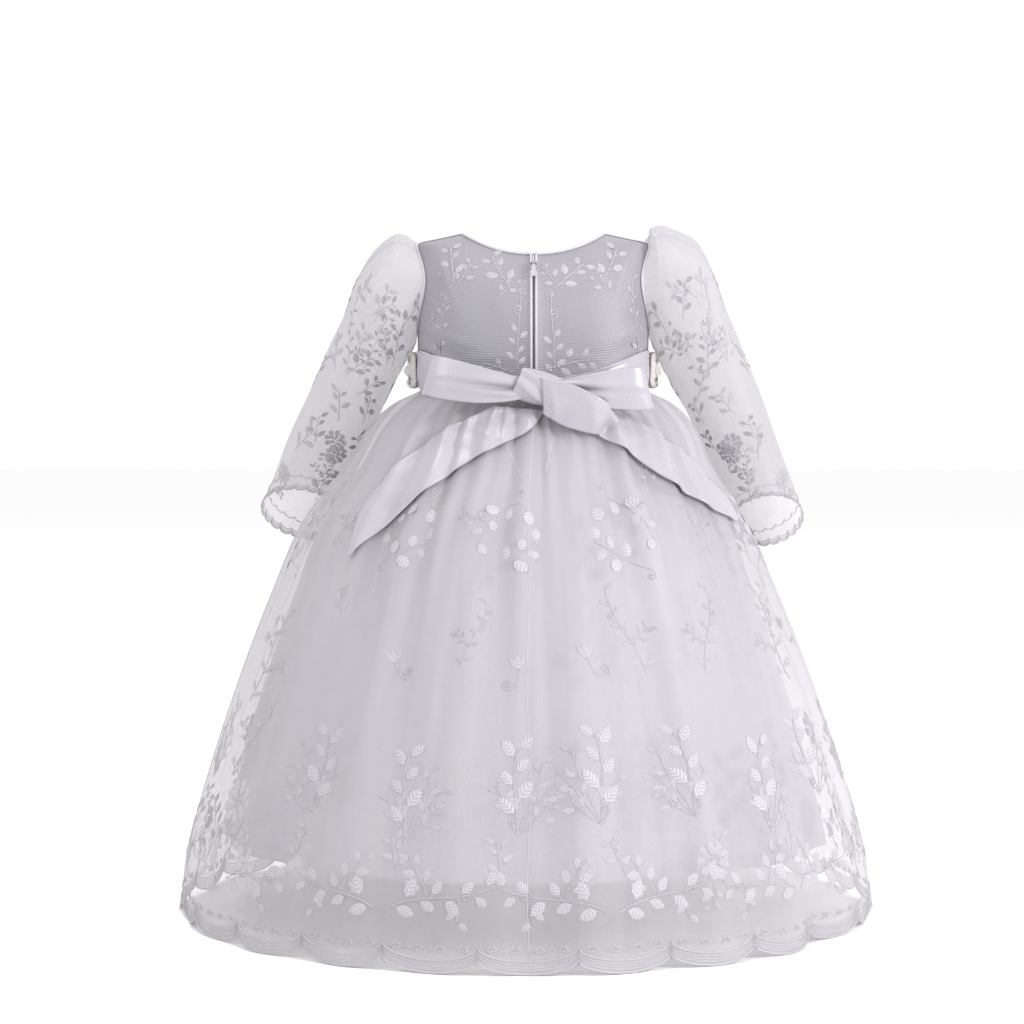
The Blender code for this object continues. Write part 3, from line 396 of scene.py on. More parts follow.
@dataclass
class Overlay(Form):
    """The skirt's tulle, with the folds of the solid and finer ones of its own."""

    gathers: int = 24
    gather_depth: float = 0.0018
    hem: float = -0.571
    scallops: int = 24
    scallop_depth: float = 0.011

    steps = (0.25, 0.0008)

    # azimuth, height, reach in degrees, length, rise, lean in degrees a metre
    creases = (
        (-8.0, -0.175, 1.1, 0.045, 0.0016, 60.0),
        (-27.0, -0.215, 1.0, 0.040, 0.0013, 20.0),
        (-33.0, -0.260, 1.4, 0.070, 0.0022, -70.0),
        (-44.0, -0.175, 1.5, 0.030, 0.0018, -90.0),
        (8.0, -0.190, 1.6, 0.060, -0.0020, 10.0),
        (3.4, -0.180, 1.2, 0.045, -0.0028, 12.0),
        (6.0, -0.175, 0.8, 0.040, 0.0016, 12.0),
        (33.0, -0.240, 1.1, 0.055, 0.0022, 35.0),
        (45.0, -0.250, 1.2, 0.030, 0.0015, 60.0),
        (-18.0, -0.330, 2.2, 0.120, 0.0022, -12.0),
        (12.0, -0.300, 2.4, 0.100, 0.0018, 8.0),
        (-52.0, -0.330, 2.4, 0.120, 0.0020, -20.0),
        (30.0, -0.420, 2.6, 0.120, 0.0024, 10.0),
        (48.0, -0.380, 2.2, 0.140, 0.0028, 12.0),
        (66.0, -0.400, 2.4, 0.140, 0.0024, 16.0),
        (-30.0, -0.460, 2.6, 0.110, 0.0020, 0.0),
        (-68.0, -0.430, 2.4, 0.140, 0.0024, -12.0),
        (1.6, -0.400, 1.0, 0.200, 0.0013, -4.0),
        (104.0, -0.300, 2.2, 0.130, 0.0024, 10.0),
        (126.0, -0.360, 2.4, 0.140, 0.0026, -8.0),
        (149.0, -0.280, 2.0, 0.110, 0.0022, 6.0),
        (171.0, -0.400, 2.6, 0.140, 0.0026, 0.0),
        (188.0, -0.260, 2.0, 0.100, 0.0020, -8.0),
        (208.0, -0.380, 2.4, 0.140, 0.0025, 8.0),
        (228.0, -0.300, 2.2, 0.120, 0.0022, -10.0),
        (247.0, -0.420, 2.4, 0.130, 0.0026, 6.0),
        (262.0, -0.330, 2.2, 0.110, 0.0020, 0.0),
    )

    def relief(self, azimuth: np.ndarray, up: np.ndarray) -> np.ndarray:
        """Give how far the fine gathers and the listed creases stand out."""
        below = -0.1330 - up
        turned = np.radians(azimuth)
        fine = np.cos(72.0 * turned + 1.6 * np.sin(5.0 * turned)) * 0.0012 * np.exp(-((below / 0.055) ** 2))
        middle = np.cos(47.0 * turned + 2.1 * np.sin(3.0 * turned + 1.0)) * 0.0016
        middle = middle * np.exp(-(((below - 0.055) / 0.070) ** 2))
        broad = np.cos(31.0 * turned + 2.4 * np.sin(2.0 * turned + 0.4)) * 0.0022
        broad = broad * np.exp(-(((below - 0.150) / 0.140) ** 2))
        total = (fine + middle + broad) * ease(below / 0.020)
        for place, height, reach, length, rise, lean in self.creases:
            away = turn_between(azimuth, place) - lean * (height - up)
            total = total + rise * np.exp(-((away / reach) ** 2) - ((up - height) / length) ** 2)
        return total

    def point(self, across: np.ndarray, up: np.ndarray, out: float = 0.0) -> np.ndarray:
        """Give points of the surface, moved outwards."""
        across, up, out = together(across, up, out)
        sizes = smooth_read(SKIRT, up)
        folds = sum(rise * np.exp(-((turn_between(across, at) / reach) ** 2)) for at, reach, rise in FOLDS)
        gathers = np.cos(np.radians(across) * self.gathers) * self.gather_depth
        out = out + folds * sizes[..., 4] + gathers * sizes[..., 3] + self.relief(across, up)
        return oval(sizes, across, up, out)

    def edge(self, azimuth: np.ndarray) -> np.ndarray:
        """Give the height of the scalloped hem."""
        return self.hem + scallop(azimuth * self.scallops / 360.0 + 0.5) * self.scallop_depth


@dataclass
class Underskirt(Form):
    """The lining."""

    waves: int = 15
    wave_depth: float = 0.004
    hem: float = -0.510

    steps = (0.25, 0.0008)

    def point(self, across: np.ndarray, up: np.ndarray, out: float = 0.0) -> np.ndarray:
        """Give points of the surface, moved outwards."""
        across, up, out = together(across, up, out)
        sizes = smooth_read(LINING, up)
        angle = np.radians(across)
        depth = self.wave_depth * sizes[..., 3]
        out = out + depth * (np.sin(self.waves * angle) + 0.25 * np.sin(37.0 * angle + 9.0 * up))
        return oval(sizes, across, up, out)


@dataclass
class Arm(Form):
    """A sleeve: across is the angle round it, and up is nought at its first ring and falls to the cuff."""

    rows: tuple = SLEEVE_LEFT
    hand: int = -1
    gather_reach: float = 84.0
    gather_depth: float = 0.055
    armhole_seam: float = 0.0006

    steps = (1.0, 0.04)

    # angle, place down the arm, reach in degrees, length, rise as a share of the ring
    creases = (
        (95.0, 4.6, 30.0, 0.35, 0.030),
        (120.0, 5.3, 26.0, 0.22, -0.035),
        (60.0, 5.9, 34.0, 0.30, 0.025),
        (140.0, 6.4, 24.0, 0.22, -0.030),
        (100.0, 7.2, 30.0, 0.30, 0.028),
        (250.0, 5.4, 36.0, 0.25, -0.035),
        (235.0, 6.5, 34.0, 0.25, -0.030),
        (75.0, 8.1, 34.0, 0.35, -0.022),
        (290.0, 7.6, 38.0, 0.35, 0.028),
    )

    def armhole(self, angle: np.ndarray) -> np.ndarray:
        """Give points of the armhole seam by angle, from the shoulder round by the back."""
        share = (angle % 360.0) / 180.0
        back = share <= 1.0
        point = Torso().round(*armhole_place(np.where(back, share, 2.0 - share)))
        y = np.where(back, point[..., 1], -point[..., 1])
        return np.stack([self.hand * (point[..., 0] + self.armhole_seam), y, point[..., 2]], axis=-1)

    def rings(self, place: np.ndarray) -> tuple:
        """Give the centre, the half width and the direction towards the back at places down the arm."""
        rows = np.array(self.rows)
        upper = np.stack([self.hand * rows[:, 0], rows[:, 4], rows[:, 1]], axis=-1)
        under = np.stack([self.hand * rows[:, 2], rows[:, 4], rows[:, 3]], axis=-1)
        centre, half = (upper + under) / 2.0, (under - upper) / 2.0
        number = np.arange(len(rows))
        along = centre[np.minimum(number + 1, len(rows) - 1)] - centre[np.maximum(number - 1, 0)]
        towards = unit(np.cross(along, half))
        towards = towards * np.where(towards[:, 1:2] > 0.0, -1.0, 1.0) * rows[:, 5:6]
        table = numbered(tuple(map(tuple, np.hstack([centre, half, towards, rows[:, 6:7]]))))
        found = smooth_read(table, place)
        return found[..., 0:3], found[..., 3:6], found[..., 6:9], found[..., 9]

    def point(self, across: np.ndarray, up: np.ndarray, out: float = 0.0) -> np.ndarray:
        """Give points of the surface, moved outwards."""
        across, up, out = together(across, up, out)
        angle = (across if self.hand < 0 else -across) % 360.0
        place = -up
        centre, half, towards, gather = self.rings(np.maximum(place, 0.0))
        over = np.abs(turn_between(angle, 0.0)) / self.gather_reach
        wave = np.cos(np.radians(angle) * 10.0) + 0.45 * np.cos(np.radians(angle) * 23.0 + 1.0)
        size = 1.0 + wave * self.gather_depth * gather * (1.0 - ease(over))
        for turn, where, reach, length, rise in self.creases:
            near = (turn_between(angle, turn) / reach) ** 2 + ((place - where) / length) ** 2
            size = size + rise * np.exp(-near)
        turned = np.radians(angle)
        spoke = half * -np.cos(turned)[..., None] + towards * np.sin(turned)[..., None]
        ring = centre + spoke * size[..., None] + unit(spoke) * out[..., None]
        seam = self.armhole(angle) + unit(spoke) * out[..., None]
        share = ease(1.0 + place)[..., None] * 0.5 + np.clip(1.0 + place, 0.0, 1.0)[..., None] * 0.5
        return np.where(place[..., None] < 0.0, seam * (1.0 - share) + ring * share, ring)


@dataclass
class Tail(Form):
    """A sash tail over the skirt, where across runs over the ribbon and up from its point to the knot."""

    rows: tuple = TAIL_LEFT
    start: tuple = ()
    skirt: Overlay = field(default_factory=Overlay)
    lift: float = 0.0040
    bulge: float = 0.0010
    settle_from: float = 1.7
    settle_over: float = 1.5

    steps = (0.01, 0.02)

    # place along the tail, lean, reach, rise
    creases = (
        (0.35, 0.25, 0.16, 0.0012),
        (0.90, -0.30, 0.20, -0.0010),
        (1.70, 0.35, 0.22, 0.0012),
        (2.70, 0.20, 0.25, -0.0010),
        (3.60, -0.25, 0.30, 0.0011),
        (4.80, 0.30, 0.25, -0.0009),
    )

    def point(self, across: np.ndarray, up: np.ndarray, out: float = 0.0) -> np.ndarray:
        """Give points of the surface, moved outwards."""
        across, up, out = together(across, up, out)
        place = len(self.rows) - 1 - up
        found = smooth_read(numbered(self.rows), place)
        azimuth = found[..., 0] + (found[..., 2] - found[..., 0]) * across
        height = found[..., 1] + (found[..., 3] - found[..., 1]) * across
        rise = self.bulge * np.sin(np.pi * np.clip(across, 0.0, 1.0))
        for where, lean, reach, depth in self.creases:
            away = place - where - lean * (across - 0.5)
            rise = rise + depth * np.exp(-((away / reach) ** 2)) * np.sin(np.pi * np.clip(across, 0.05, 0.95))
        laid = self.skirt.point(azimuth, height, self.lift + rise + out)
        if not self.start:
            return laid
        free = smooth_read(numbered(self.start), place)
        held = free[..., :3] * (1.0 - across)[..., None] + free[..., 3:] * across[..., None]
        held = held + np.stack([0.35 * (rise + out), -(rise + out), 0.0 * rise], axis=-1)
        share = ease((place - self.settle_from) / self.settle_over)[..., None]
        return held * (1.0 - share) + laid * share


@dataclass
class Loop(Form):
    """A bow loop: across runs along the ribbon from its back layer, and up is -1 to 1 over its width."""

    rows: tuple = LOOP_LEFT
    hand: int = -1

    steps = (0.02, 0.02)

    # up, lean, reach, rise
    creases = ((0.62, -0.55, 0.26, 0.0026), (0.06, -0.25, 0.22, -0.0036), (-0.52, 0.30, 0.26, 0.0024))

    def point(self, across: np.ndarray, up: np.ndarray, out: float = 0.0) -> np.ndarray:
        """Give points of the surface, moved towards the camera's side."""
        across, up, out = together(across, up, out)
        found = smooth_read(numbered(self.rows), across)
        last = len(self.rows) - 1
        near = np.minimum(across, last - across) / last * 2.0
        reach = np.exp(-((near / 0.62) ** 2)) * (0.35 + 0.65 * ease(near / 0.25))
        rise = np.zeros_like(near)
        for where, lean, width, depth in self.creases:
            rise = rise + depth * np.exp(-(((up - where * (1.0 - 0.4 * near) - lean * near) / width) ** 2))
        swell = 0.0013 * np.cos(np.pi * up / 2.0) * np.sin(np.pi * np.clip(near, 0.0, 1.0))
        side = np.where(across > last / 2.0, 1.0, -0.4)
        y = found[..., 1] - (rise * reach + swell) * side - out
        x = found[..., 0] + found[..., 4] * found[..., 3] * up
        z = found[..., 2] + found[..., 3] * up + 0.0008 * np.sin(3.0 * near + 1.0) * np.abs(up) * up
        return np.stack([self.hand * x, y, z], axis=-1)


class Wire:
    """An output socket of a node tree, whose arithmetic adds Math nodes."""

    def __init__(self, tree: bpy.types.NodeTree, socket: bpy.types.NodeSocket) -> None:
        """Keep the tree and the socket."""
        self.tree = tree
        self.socket = socket

    def math(self, operation: str, *values: Wire | float) -> Wire:
        """Add a Math node that has this wire as its first value."""
        return Wire.calculate(self.tree, operation, self, *values)

    @staticmethod
    def calculate(tree: bpy.types.NodeTree, operation: str, *values: Wire | float) -> Wire:
        """Add a Math node on any values."""
        node = tree.nodes.new("ShaderNodeMath")
        node.operation = operation
        for slot, value in zip(node.inputs, values):
            feed(tree, slot, value)
        return Wire(tree, node.outputs[0])

    def __add__(self, other: Wire | float) -> Wire:
        """Add."""
        return self.math("ADD", other)

    __radd__ = __add__

    def __sub__(self, other: Wire | float) -> Wire:
        """Subtract."""
        return self.math("SUBTRACT", other)

    def __rsub__(self, other: float) -> Wire:
        """Subtract from a number."""
        return Wire.calculate(self.tree, "SUBTRACT", other, self)

    def __mul__(self, other: Wire | float) -> Wire:
        """Multiply."""
        return self.math("MULTIPLY", other)

    __rmul__ = __mul__

    def __pow__(self, other: float) -> Wire:
        """Raise to a power."""
        return self.math("POWER", other)


def feed(tree: bpy.types.NodeTree, slot: bpy.types.NodeSocket, value: object) -> None:
    """Link a wire to a socket, or set the socket's own value."""
    if isinstance(value, Wire):
        tree.links.new(value.socket, slot)
    else:
        slot.default_value = value


class Nodes:
    """A node tree that is being built."""

    def __init__(self, tree: bpy.types.NodeTree) -> None:
        """Start from an empty tree."""
        self.tree = tree
        tree.nodes.clear()

    def add(
        self, kind: str, settings: dict | None = None, inputs: dict | None = None, out: str | int = 0
    ) -> Wire:
        """Add a node.

        Args:
            kind: The node's type.
            settings: Its properties, set first.
            inputs: Values or wires by socket name or number.
            out: The name or number of the output to give.

        Returns:
            The wire of that output.
        """
        node = self.tree.nodes.new(kind)
        for name, value in (settings or {}).items():
            setattr(node, name, value)
        for name, value in (inputs or {}).items():
            feed(self.tree, node.inputs[name], value)
        return Wire(self.tree, node.outputs[out] if node.outputs else None)

    def link(self, wire: Wire, node: bpy.types.Node, name: str) -> None:
        """Link a wire to a node's socket."""
        self.tree.links.new(wire.socket, node.inputs[name])

    def mix(self, factor: Wire | float, first: object, second: object) -> Wire:
        """Mix two colours."""
        inputs = {0: factor, 6: first, 7: second}
        return self.add("ShaderNodeMix", {"data_type": "RGBA", "clamp_factor": True}, inputs, 2)


@dataclass(frozen=True)
class Finish:
    """A cloth, thread or metal finish."""

    name: str
    weave: Weave
    colour: tuple[float, float, float]
    shade: tuple[float, float, float]
    roughness: float
    sheen: float = 0.0
    alpha: float = 1.0
    pitch: float = 0.0012
    relief: float = 0.00012
    metallic: float = 0.0
    streaks: float = 0.0

    cloud_scale = 22.0
    grain_scale = 900.0
    streak_stretch = 0.09
    net_slant = 0.58

    def make(self) -> bpy.types.Material:
        """Build the material."""
        made = bpy.data.materials.new(self.name)
        made.use_nodes = True
        nodes = Nodes(made.node_tree)
        shader = made.node_tree.nodes.new("ShaderNodeBsdfPrincipled")
        output = made.node_tree.nodes.new("ShaderNodeOutputMaterial")
        made.node_tree.links.new(shader.outputs[0], output.inputs["Surface"])
        shader.inputs["Metallic"].default_value = self.metallic
        shader.inputs["Sheen Weight"].default_value = self.sheen
        shader.inputs["Sheen Roughness"].default_value = 0.5
        place = nodes.add("ShaderNodeTexCoord", out="Object")
        spread = place
        if self.streaks:
            cloth = nodes.add("ShaderNodeUVMap", {"uv_map": "cloth"})
            stretch = {"Vector": cloth, "Scale": (self.streaks, self.streaks * self.streak_stretch, 1.0)}
            spread = nodes.add("ShaderNodeMapping", inputs=stretch)
        scale = 1.0 if self.streaks else self.cloud_scale
        cloudy = nodes.add("ShaderNodeTexNoise", inputs={"Vector": spread, "Scale": scale, "Detail": 2.0})
        grain = {"Vector": place, "Scale": self.grain_scale, "Detail": 1.0}
        fine = nodes.add("ShaderNodeTexNoise", inputs=grain)
        tone = (cloudy - 0.30) * 2.2 + (fine - 0.5) * 0.3
        if self.weave is Weave.THREAD:
            # For thread, the stitch wave lightens each stitch's crown and darkens the grooves between
            # stitches, in step with the bump that surface() gives: painted shade between the stitches, on top
            # of the random tone.
            stitch = nodes.add("ShaderNodeAttribute", {"attribute_name": "stitch"}, out="Fac")
            tone = tone * 0.5 + 0.35 + stitch.math("SINE") * 0.55
        nodes.link(nodes.mix(tone, (*self.shade, 1.0), (*self.colour, 1.0)), shader, "Base Color")
        nodes.link(self.roughness + (cloudy - 0.5) * 0.18 + (fine - 0.5) * 0.1, shader, "Roughness")
        height = self.surface(nodes, place, fine)
        bump = {"Height": height, "Distance": self.relief, "Strength": 0.9}
        nodes.link(nodes.add("ShaderNodeBump", inputs=bump), shader, "Normal")
        shader.inputs["Alpha"].default_value = self.alpha
        return made

    def surface(self, nodes: Nodes, place: Wire, fine: Wire) -> Wire:
        """Give the height of the weave."""
        if self.weave in (Weave.THREAD, Weave.METAL, Weave.TAPE):
            if self.weave is Weave.METAL:
                return fine * 0.3
            if self.weave is Weave.TAPE:
                parts = nodes.add("ShaderNodeSeparateXYZ", inputs={0: place}, out=2)
                return (parts * (math.tau / self.pitch)).math("SINE") * 0.6 + fine * 0.3
            thread = nodes.add("ShaderNodeAttribute", {"attribute_name": "stitch"}, out="Fac")
            return thread.math("SINE") * 0.5 + fine * 0.3
        cloth = nodes.add("ShaderNodeUVMap", {"uv_map": "cloth"})
        parts = nodes.add("ShaderNodeSeparateXYZ", inputs={0: cloth}, out=0)
        outputs = parts.socket.node.outputs
        warp, weft = (Wire(nodes.tree, outputs[i]) * (math.tau / self.pitch) for i in (0, 1))
        if self.weave is Weave.RIBBED:
            return weft.math("SINE") * 0.8 + (warp * 0.5).math("SINE") * 0.12 + fine * 0.25
        if self.weave is Weave.SATIN:
            return (warp * 0.35 + fine * 4.0).math("SINE") * 0.25 + fine * 0.25
        if self.weave is Weave.NET:
            slant = weft * self.net_slant
            first, second = (warp + slant).math("SINE"), (warp - slant).math("SINE")
            return first.math("MAXIMUM", second) * 0.8 + fine * 0.2
        return warp.math("SINE") * weft.math("SINE") * 0.6 + fine * 0.4


class Cloakroom:
    """Keeps the finishes, and hands each finished piece to the frame."""

    finishes = (
        Finish(
            "sheer_tulle", Weave.NET, (0.58, 0.56, 0.60), (0.50, 0.48, 0.52), 0.62, 0.08,
            alpha=0.52, pitch=0.0016, streaks=42.0,
        ),
        Finish(
            "sleeve_tulle", Weave.NET, (0.54, 0.52, 0.565), (0.44, 0.42, 0.46), 0.62, 0.08,
            alpha=0.46, pitch=0.0016, streaks=42.0,
        ),
        Finish(
            "ribbed_satin", Weave.RIBBED, (0.28, 0.270, 0.303), (0.25, 0.240, 0.272), 0.46, 0.06, pitch=0.0021
        ),
        Finish(
            "lining_cloth", Weave.PLAIN, (0.47, 0.455, 0.49), (0.37, 0.352, 0.39), 0.60, 0.06,
            pitch=0.0010, streaks=14.0,
        ),
        Finish(
            "ribbon_satin", Weave.SATIN, (0.41, 0.397, 0.437), (0.365, 0.352, 0.392), 0.27, 0.03,
            pitch=0.0010, relief=0.00004,
        ),
        Finish(
            "white_thread", Weave.THREAD, (0.46, 0.447, 0.48), (0.36, 0.347, 0.38), 0.42, 0.06, relief=0.0004
        ),
        Finish(
            "lace_thread", Weave.THREAD, (0.52, 0.50, 0.545), (0.46, 0.44, 0.48), 0.60, 0.06, relief=0.0003
        ),
        Finish(
            "guipure_net", Weave.NET, (0.66, 0.64, 0.63), (0.56, 0.53, 0.52), 0.70, 0.03,
            pitch=0.0018, relief=0.0003,
        ),
        Finish(
            "guipure_thread", Weave.THREAD, (0.62, 0.60, 0.60), (0.50, 0.475, 0.475), 0.62, 0.03, relief=0.0004
        ),
        Finish("tape_cloth", Weave.TAPE, (0.34, 0.33, 0.36), (0.28, 0.27, 0.30), 0.70, pitch=0.0016),
        Finish(
            "zip_metal", Weave.METAL, (0.40, 0.39, 0.41), (0.28, 0.27, 0.30), 0.38, relief=0.0001, metallic=0.7
        ),
    )

    def __init__(self) -> None:
        """Build the materials."""
        self.materials = {finish.name: finish.make() for finish in self.finishes}

    def hand_over(self, piece: bpy.types.Object, finish: str, nodes: tuple = ()) -> None:
        """Dress a piece, ride it on the garment and hide the solids that it replaces.

        Args:
            piece: The finished piece.
            finish: The name of its finish.
            nodes: The solids that it replaces.
        """
        piece.data.materials.clear()
        piece.data.materials.append(self.materials[finish])
        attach(piece, GARMENT)
        if nodes:
            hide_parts(*nodes)
        LOG.info("%s: %d faces, %s", piece.name, len(piece.data.polygons), finish)

    def sheet(
        self, name: str, grid: np.ndarray, finish: str, node: str,
        thickness: float = 0.0, closed: bool = False,
    ) -> None:
        """Make a sheet of cloth from its grid, dress it and say what cut it has.

        Args:
            name: The piece's name.
            grid: Its points.
            finish: The name of its finish.
            node: The solid that it replaces.
            thickness: How thick it is, or nought for a single layer.
            closed: Whether it goes all round.
        """
        piece = grid_piece(name, grid, closed, thickness)
        self.hand_over(piece, finish, (node,))
        declare(piece, grid, closed)

    def dress_node(self, frame: dict, node: str, finish: str) -> None:
        """Give a solid that stays its finish."""
        piece = frame["nodes"][node]
        if not piece.data.materials:
            piece.data.materials.append(self.materials[finish])
        for slot in piece.material_slots:
            slot.material = self.materials[finish]
        LOG.info("%s keeps its solid, %s", node, finish)


def placed(name: str, data: bpy.types.ID) -> bpy.types.Object:
    """Add an object to the scene."""
    made = bpy.data.objects.new(name, data)
    bpy.context.scene.collection.objects.link(made)
    return made


def ring_of(grid: np.ndarray, closed: bool) -> np.ndarray:
    """Repeat the first column after the last where a grid goes all round."""
    return np.concatenate([grid, grid[:, :1]], axis=1) if closed else grid


def grid_piece(name: str, grid: np.ndarray, closed: bool = False, thickness: float = 0.0) -> bpy.types.Object:
    """Make a cloth piece from a grid of points.

    Args:
        name: The piece's name.
        grid: Points by row from the top down, and by column from the left as seen from outside.
        closed: Whether the last column joins the first.
        thickness: How thick the cloth is under its face, or nought for a single layer.

    Returns:
        The piece, smooth-shaded, with its cloth's own lengths as a UV map.
    """
    rows, columns = grid.shape[:2]
    mesh = bpy.data.meshes.new(name)
    wide = columns if closed else columns - 1
    j = np.arange(wide)
    k = (j + 1) % columns
    upper = np.arange(rows - 1)[:, None] * columns
    faces = np.stack([upper + j, upper + columns + j, upper + columns + k, upper + k], axis=-1).reshape(-1, 4)
    mesh.from_pydata(grid.reshape(-1, 3).tolist(), [], faces.tolist())
    ring = ring_of(grid, closed)
    steps = np.linalg.norm(np.diff(ring, axis=1), axis=-1).mean(axis=0)
    falls = np.linalg.norm(np.diff(grid, axis=0), axis=-1).mean(axis=1)
    warp, weft = np.concatenate([[0.0], np.cumsum(steps)]), np.concatenate([[0.0], np.cumsum(falls)])
    first, second = np.meshgrid(np.arange(rows - 1), j, indexing="ij")
    across = np.stack([warp[second], warp[second], warp[second + 1], warp[second + 1]], axis=-1)
    down = np.stack([weft[first], weft[first + 1], weft[first + 1], weft[first]], axis=-1)
    layer = mesh.uv_layers.new(name="cloth")
    layer.data.foreach_set("uv", np.stack([across, down], axis=-1).reshape(-1).astype(np.float32))
    mesh.shade_smooth()
    piece = placed(name, mesh)
    if thickness:
        solid = piece.modifiers.new("cloth", "SOLIDIFY")
        solid.thickness = thickness
        solid.offset = -1.0
    return piece


def area_of(grid: np.ndarray, closed: bool = False) -> float:
    """Give the area of a grid of points."""
    ring = ring_of(grid, closed)
    across = ring[:-1, 1:] - ring[:-1, :-1]
    down = ring[1:, :-1] - ring[:-1, :-1]
    return float(np.linalg.norm(np.cross(across, down), axis=-1).sum())


def declare(piece: bpy.types.Object, grid: np.ndarray, closed: bool = False) -> None:
    """Say what cut a sheet of cloth has, from the lengths of its own threads.

    Args:
        piece: The sheet.
        grid: Its points.
        closed: Whether it goes all round.
    """
    ring = ring_of(grid, closed)
    width = float(np.linalg.norm(np.diff(ring, axis=1), axis=-1).sum(axis=1).max())
    length = float(np.linalg.norm(np.diff(grid, axis=0), axis=-1).sum(axis=0).max())
    area = min(area_of(grid, closed), width * length)
    LOG.info("%s: cut %.3f x %.3f m, %.4f m2", piece.name, width, length, area)


def realised(name: str, mesh: bpy.types.Mesh, tree: bpy.types.NodeTree, values: dict) -> bpy.types.Object:
    """Run a geometry tree on a guide mesh, and keep the result as a plain mesh.

    Args:
        name: The new piece's name.
        mesh: The guide.
        tree: The tree.
        values: The tree's inputs by name.

    Returns:
        The piece.
    """
    guide = placed(f"{name}_guide", mesh)
    grown = guide.modifiers.new("nodes", "NODES")
    grown.node_group = tree
    for item in tree.interface.items_tree:
        if item.item_type == "SOCKET" and item.in_out == "INPUT" and item.name in values:
            grown[item.identifier] = values[item.name]
    graph = bpy.context.evaluated_depsgraph_get()
    grown_guide = guide.evaluated_get(graph)
    made = bpy.data.meshes.new_from_object(grown_guide, preserve_all_data_layers=True, depsgraph=graph)
    bpy.data.objects.remove(guide)
    made.name = name
    made.shade_smooth()
    return placed(name, made)


def new_tree(name: str, inputs: tuple) -> tuple[Nodes, dict]:
    """Start a geometry tree with named inputs.

    Args:
        name: The tree's name.
        inputs: Pairs of an input's name and its socket type.

    Returns:
        The nodes, and the inputs' wires by name.
    """
    tree = bpy.data.node_groups.new(name, "GeometryNodeTree")
    tree.interface.new_socket("Geometry", in_out="INPUT", socket_type="NodeSocketGeometry")
    for title, kind in inputs:
        tree.interface.new_socket(title, in_out="INPUT", socket_type=kind)
    tree.interface.new_socket("Geometry", in_out="OUTPUT", socket_type="NodeSocketGeometry")
    nodes = Nodes(tree)
    group = tree.nodes.new("NodeGroupInput")
    wires = {socket.name: Wire(tree, socket) for socket in group.outputs if socket.name}
    return nodes, wires


def close_tree(nodes: Nodes, geometry: Wire, material: Wire) -> bpy.types.NodeTree:
    """End a geometry tree in Realize Instances and Set Material."""
    plain = nodes.add("GeometryNodeRealizeInstances", inputs={"Geometry": geometry})
    dressed = nodes.add("GeometryNodeSetMaterial", inputs={"Geometry": plain, "Material": material})
    nodes.add("NodeGroupOutput", inputs={0: dressed})
    return nodes.tree


def thread_tree() -> bpy.types.NodeTree:
    """Make the tree that turns guide lines into round threads."""
    nodes, wires = new_tree("threads", (("Sides", "NodeSocketInt"), ("Material", "NodeSocketMaterial")))
    curve = nodes.add("GeometryNodeMeshToCurve", inputs={0: wires["Geometry"]})
    girth = nodes.add("GeometryNodeInputNamedAttribute", {"data_type": "FLOAT"}, {"Name": "girth"})
    circle = {"Resolution": wires["Sides"], "Radius": 1.0}
    profile = nodes.add("GeometryNodeCurvePrimitiveCircle", inputs=circle)
    inputs = {"Curve": curve, "Profile Curve": profile, "Scale": girth, "Fill Caps": True}
    tube = nodes.add("GeometryNodeCurveToMesh", inputs=inputs)
    return close_tree(nodes, tube, wires["Material"])


def leaf_stamp(nodes: Nodes, point: float, stitches: float, chevron: float) -> Wire:
    """Make one satin-stitch leaf or petal of length and width one, with a groove down its middle.

    Args:
        nodes: The tree.
        point: How pointed the ends are.
        stitches: How many stitches there are along it.
        chevron: How far the stitches slant from the groove.

    Returns:
        The leaf's geometry.
    """
    sizes = {"Size X": 1.0, "Size Y": 1.0, "Vertices X": 9, "Vertices Y": 5}
    plate = nodes.add("GeometryNodeMeshGrid", inputs=sizes)
    place = nodes.add("GeometryNodeInputPosition")
    parts = nodes.add("ShaderNodeSeparateXYZ", inputs={0: place}).socket.node.outputs
    x, y = (Wire(nodes.tree, parts[i]) for i in (0, 1))
    width = ((x + 0.5) * math.pi).math("SINE").math("MAXIMUM", 0.004) ** point
    rise = (1.0 - (y * 2.0) ** 2.0) * width
    groove = (y * 9.0).math("ABSOLUTE").math("MINIMUM", 1.0) * 0.45 + 0.55
    spot = nodes.add("ShaderNodeCombineXYZ", inputs={0: x, 1: y * width, 2: rise * groove})
    shaped = nodes.add("GeometryNodeSetPosition", inputs={"Geometry": plate, "Position": spot})
    count = (x * stitches + y.math("ABSOLUTE") * chevron) * math.tau
    settings = {"data_type": "FLOAT", "domain": "POINT"}
    stored = {"Geometry": shaped, "Name": "stitch", "Value": count}
    return nodes.add("GeometryNodeStoreNamedAttribute", settings, stored)


def leaf_tree() -> bpy.types.NodeTree:
    """Make the tree that puts a leaf or a petal on each guide point."""
    nodes, wires = new_tree("leaves", (("Material", "NodeSocketMaterial"),))
    points = nodes.add("GeometryNodeMeshToPoints", inputs={0: wires["Geometry"]})
    turn = nodes.add("GeometryNodeInputNamedAttribute", {"data_type": "FLOAT_VECTOR"}, {"Name": "turn"})
    size = nodes.add("GeometryNodeInputNamedAttribute", {"data_type": "FLOAT_VECTOR"}, {"Name": "size"})
    kind = nodes.add("GeometryNodeInputNamedAttribute", {"data_type": "FLOAT"}, {"Name": "round"})
    turned = nodes.add("FunctionNodeEulerToRotation", inputs={0: turn})
    join = nodes.tree.nodes.new("GeometryNodeJoinGeometry")
    stamps = ((leaf_stamp(nodes, 0.80, 5.0, -2.4), 1.0 - kind), (leaf_stamp(nodes, 0.50, 4.0, -1.6), kind))
    for stamp, chosen in stamps:
        inputs = {"Points": points, "Selection": chosen, "Instance": stamp, "Rotation": turned, "Scale": size}
        made = nodes.add("GeometryNodeInstanceOnPoints", inputs=inputs)
        nodes.tree.links.new(made.socket, join.inputs[0])
    return close_tree(nodes, Wire(nodes.tree, join.outputs[0]), wires["Material"])


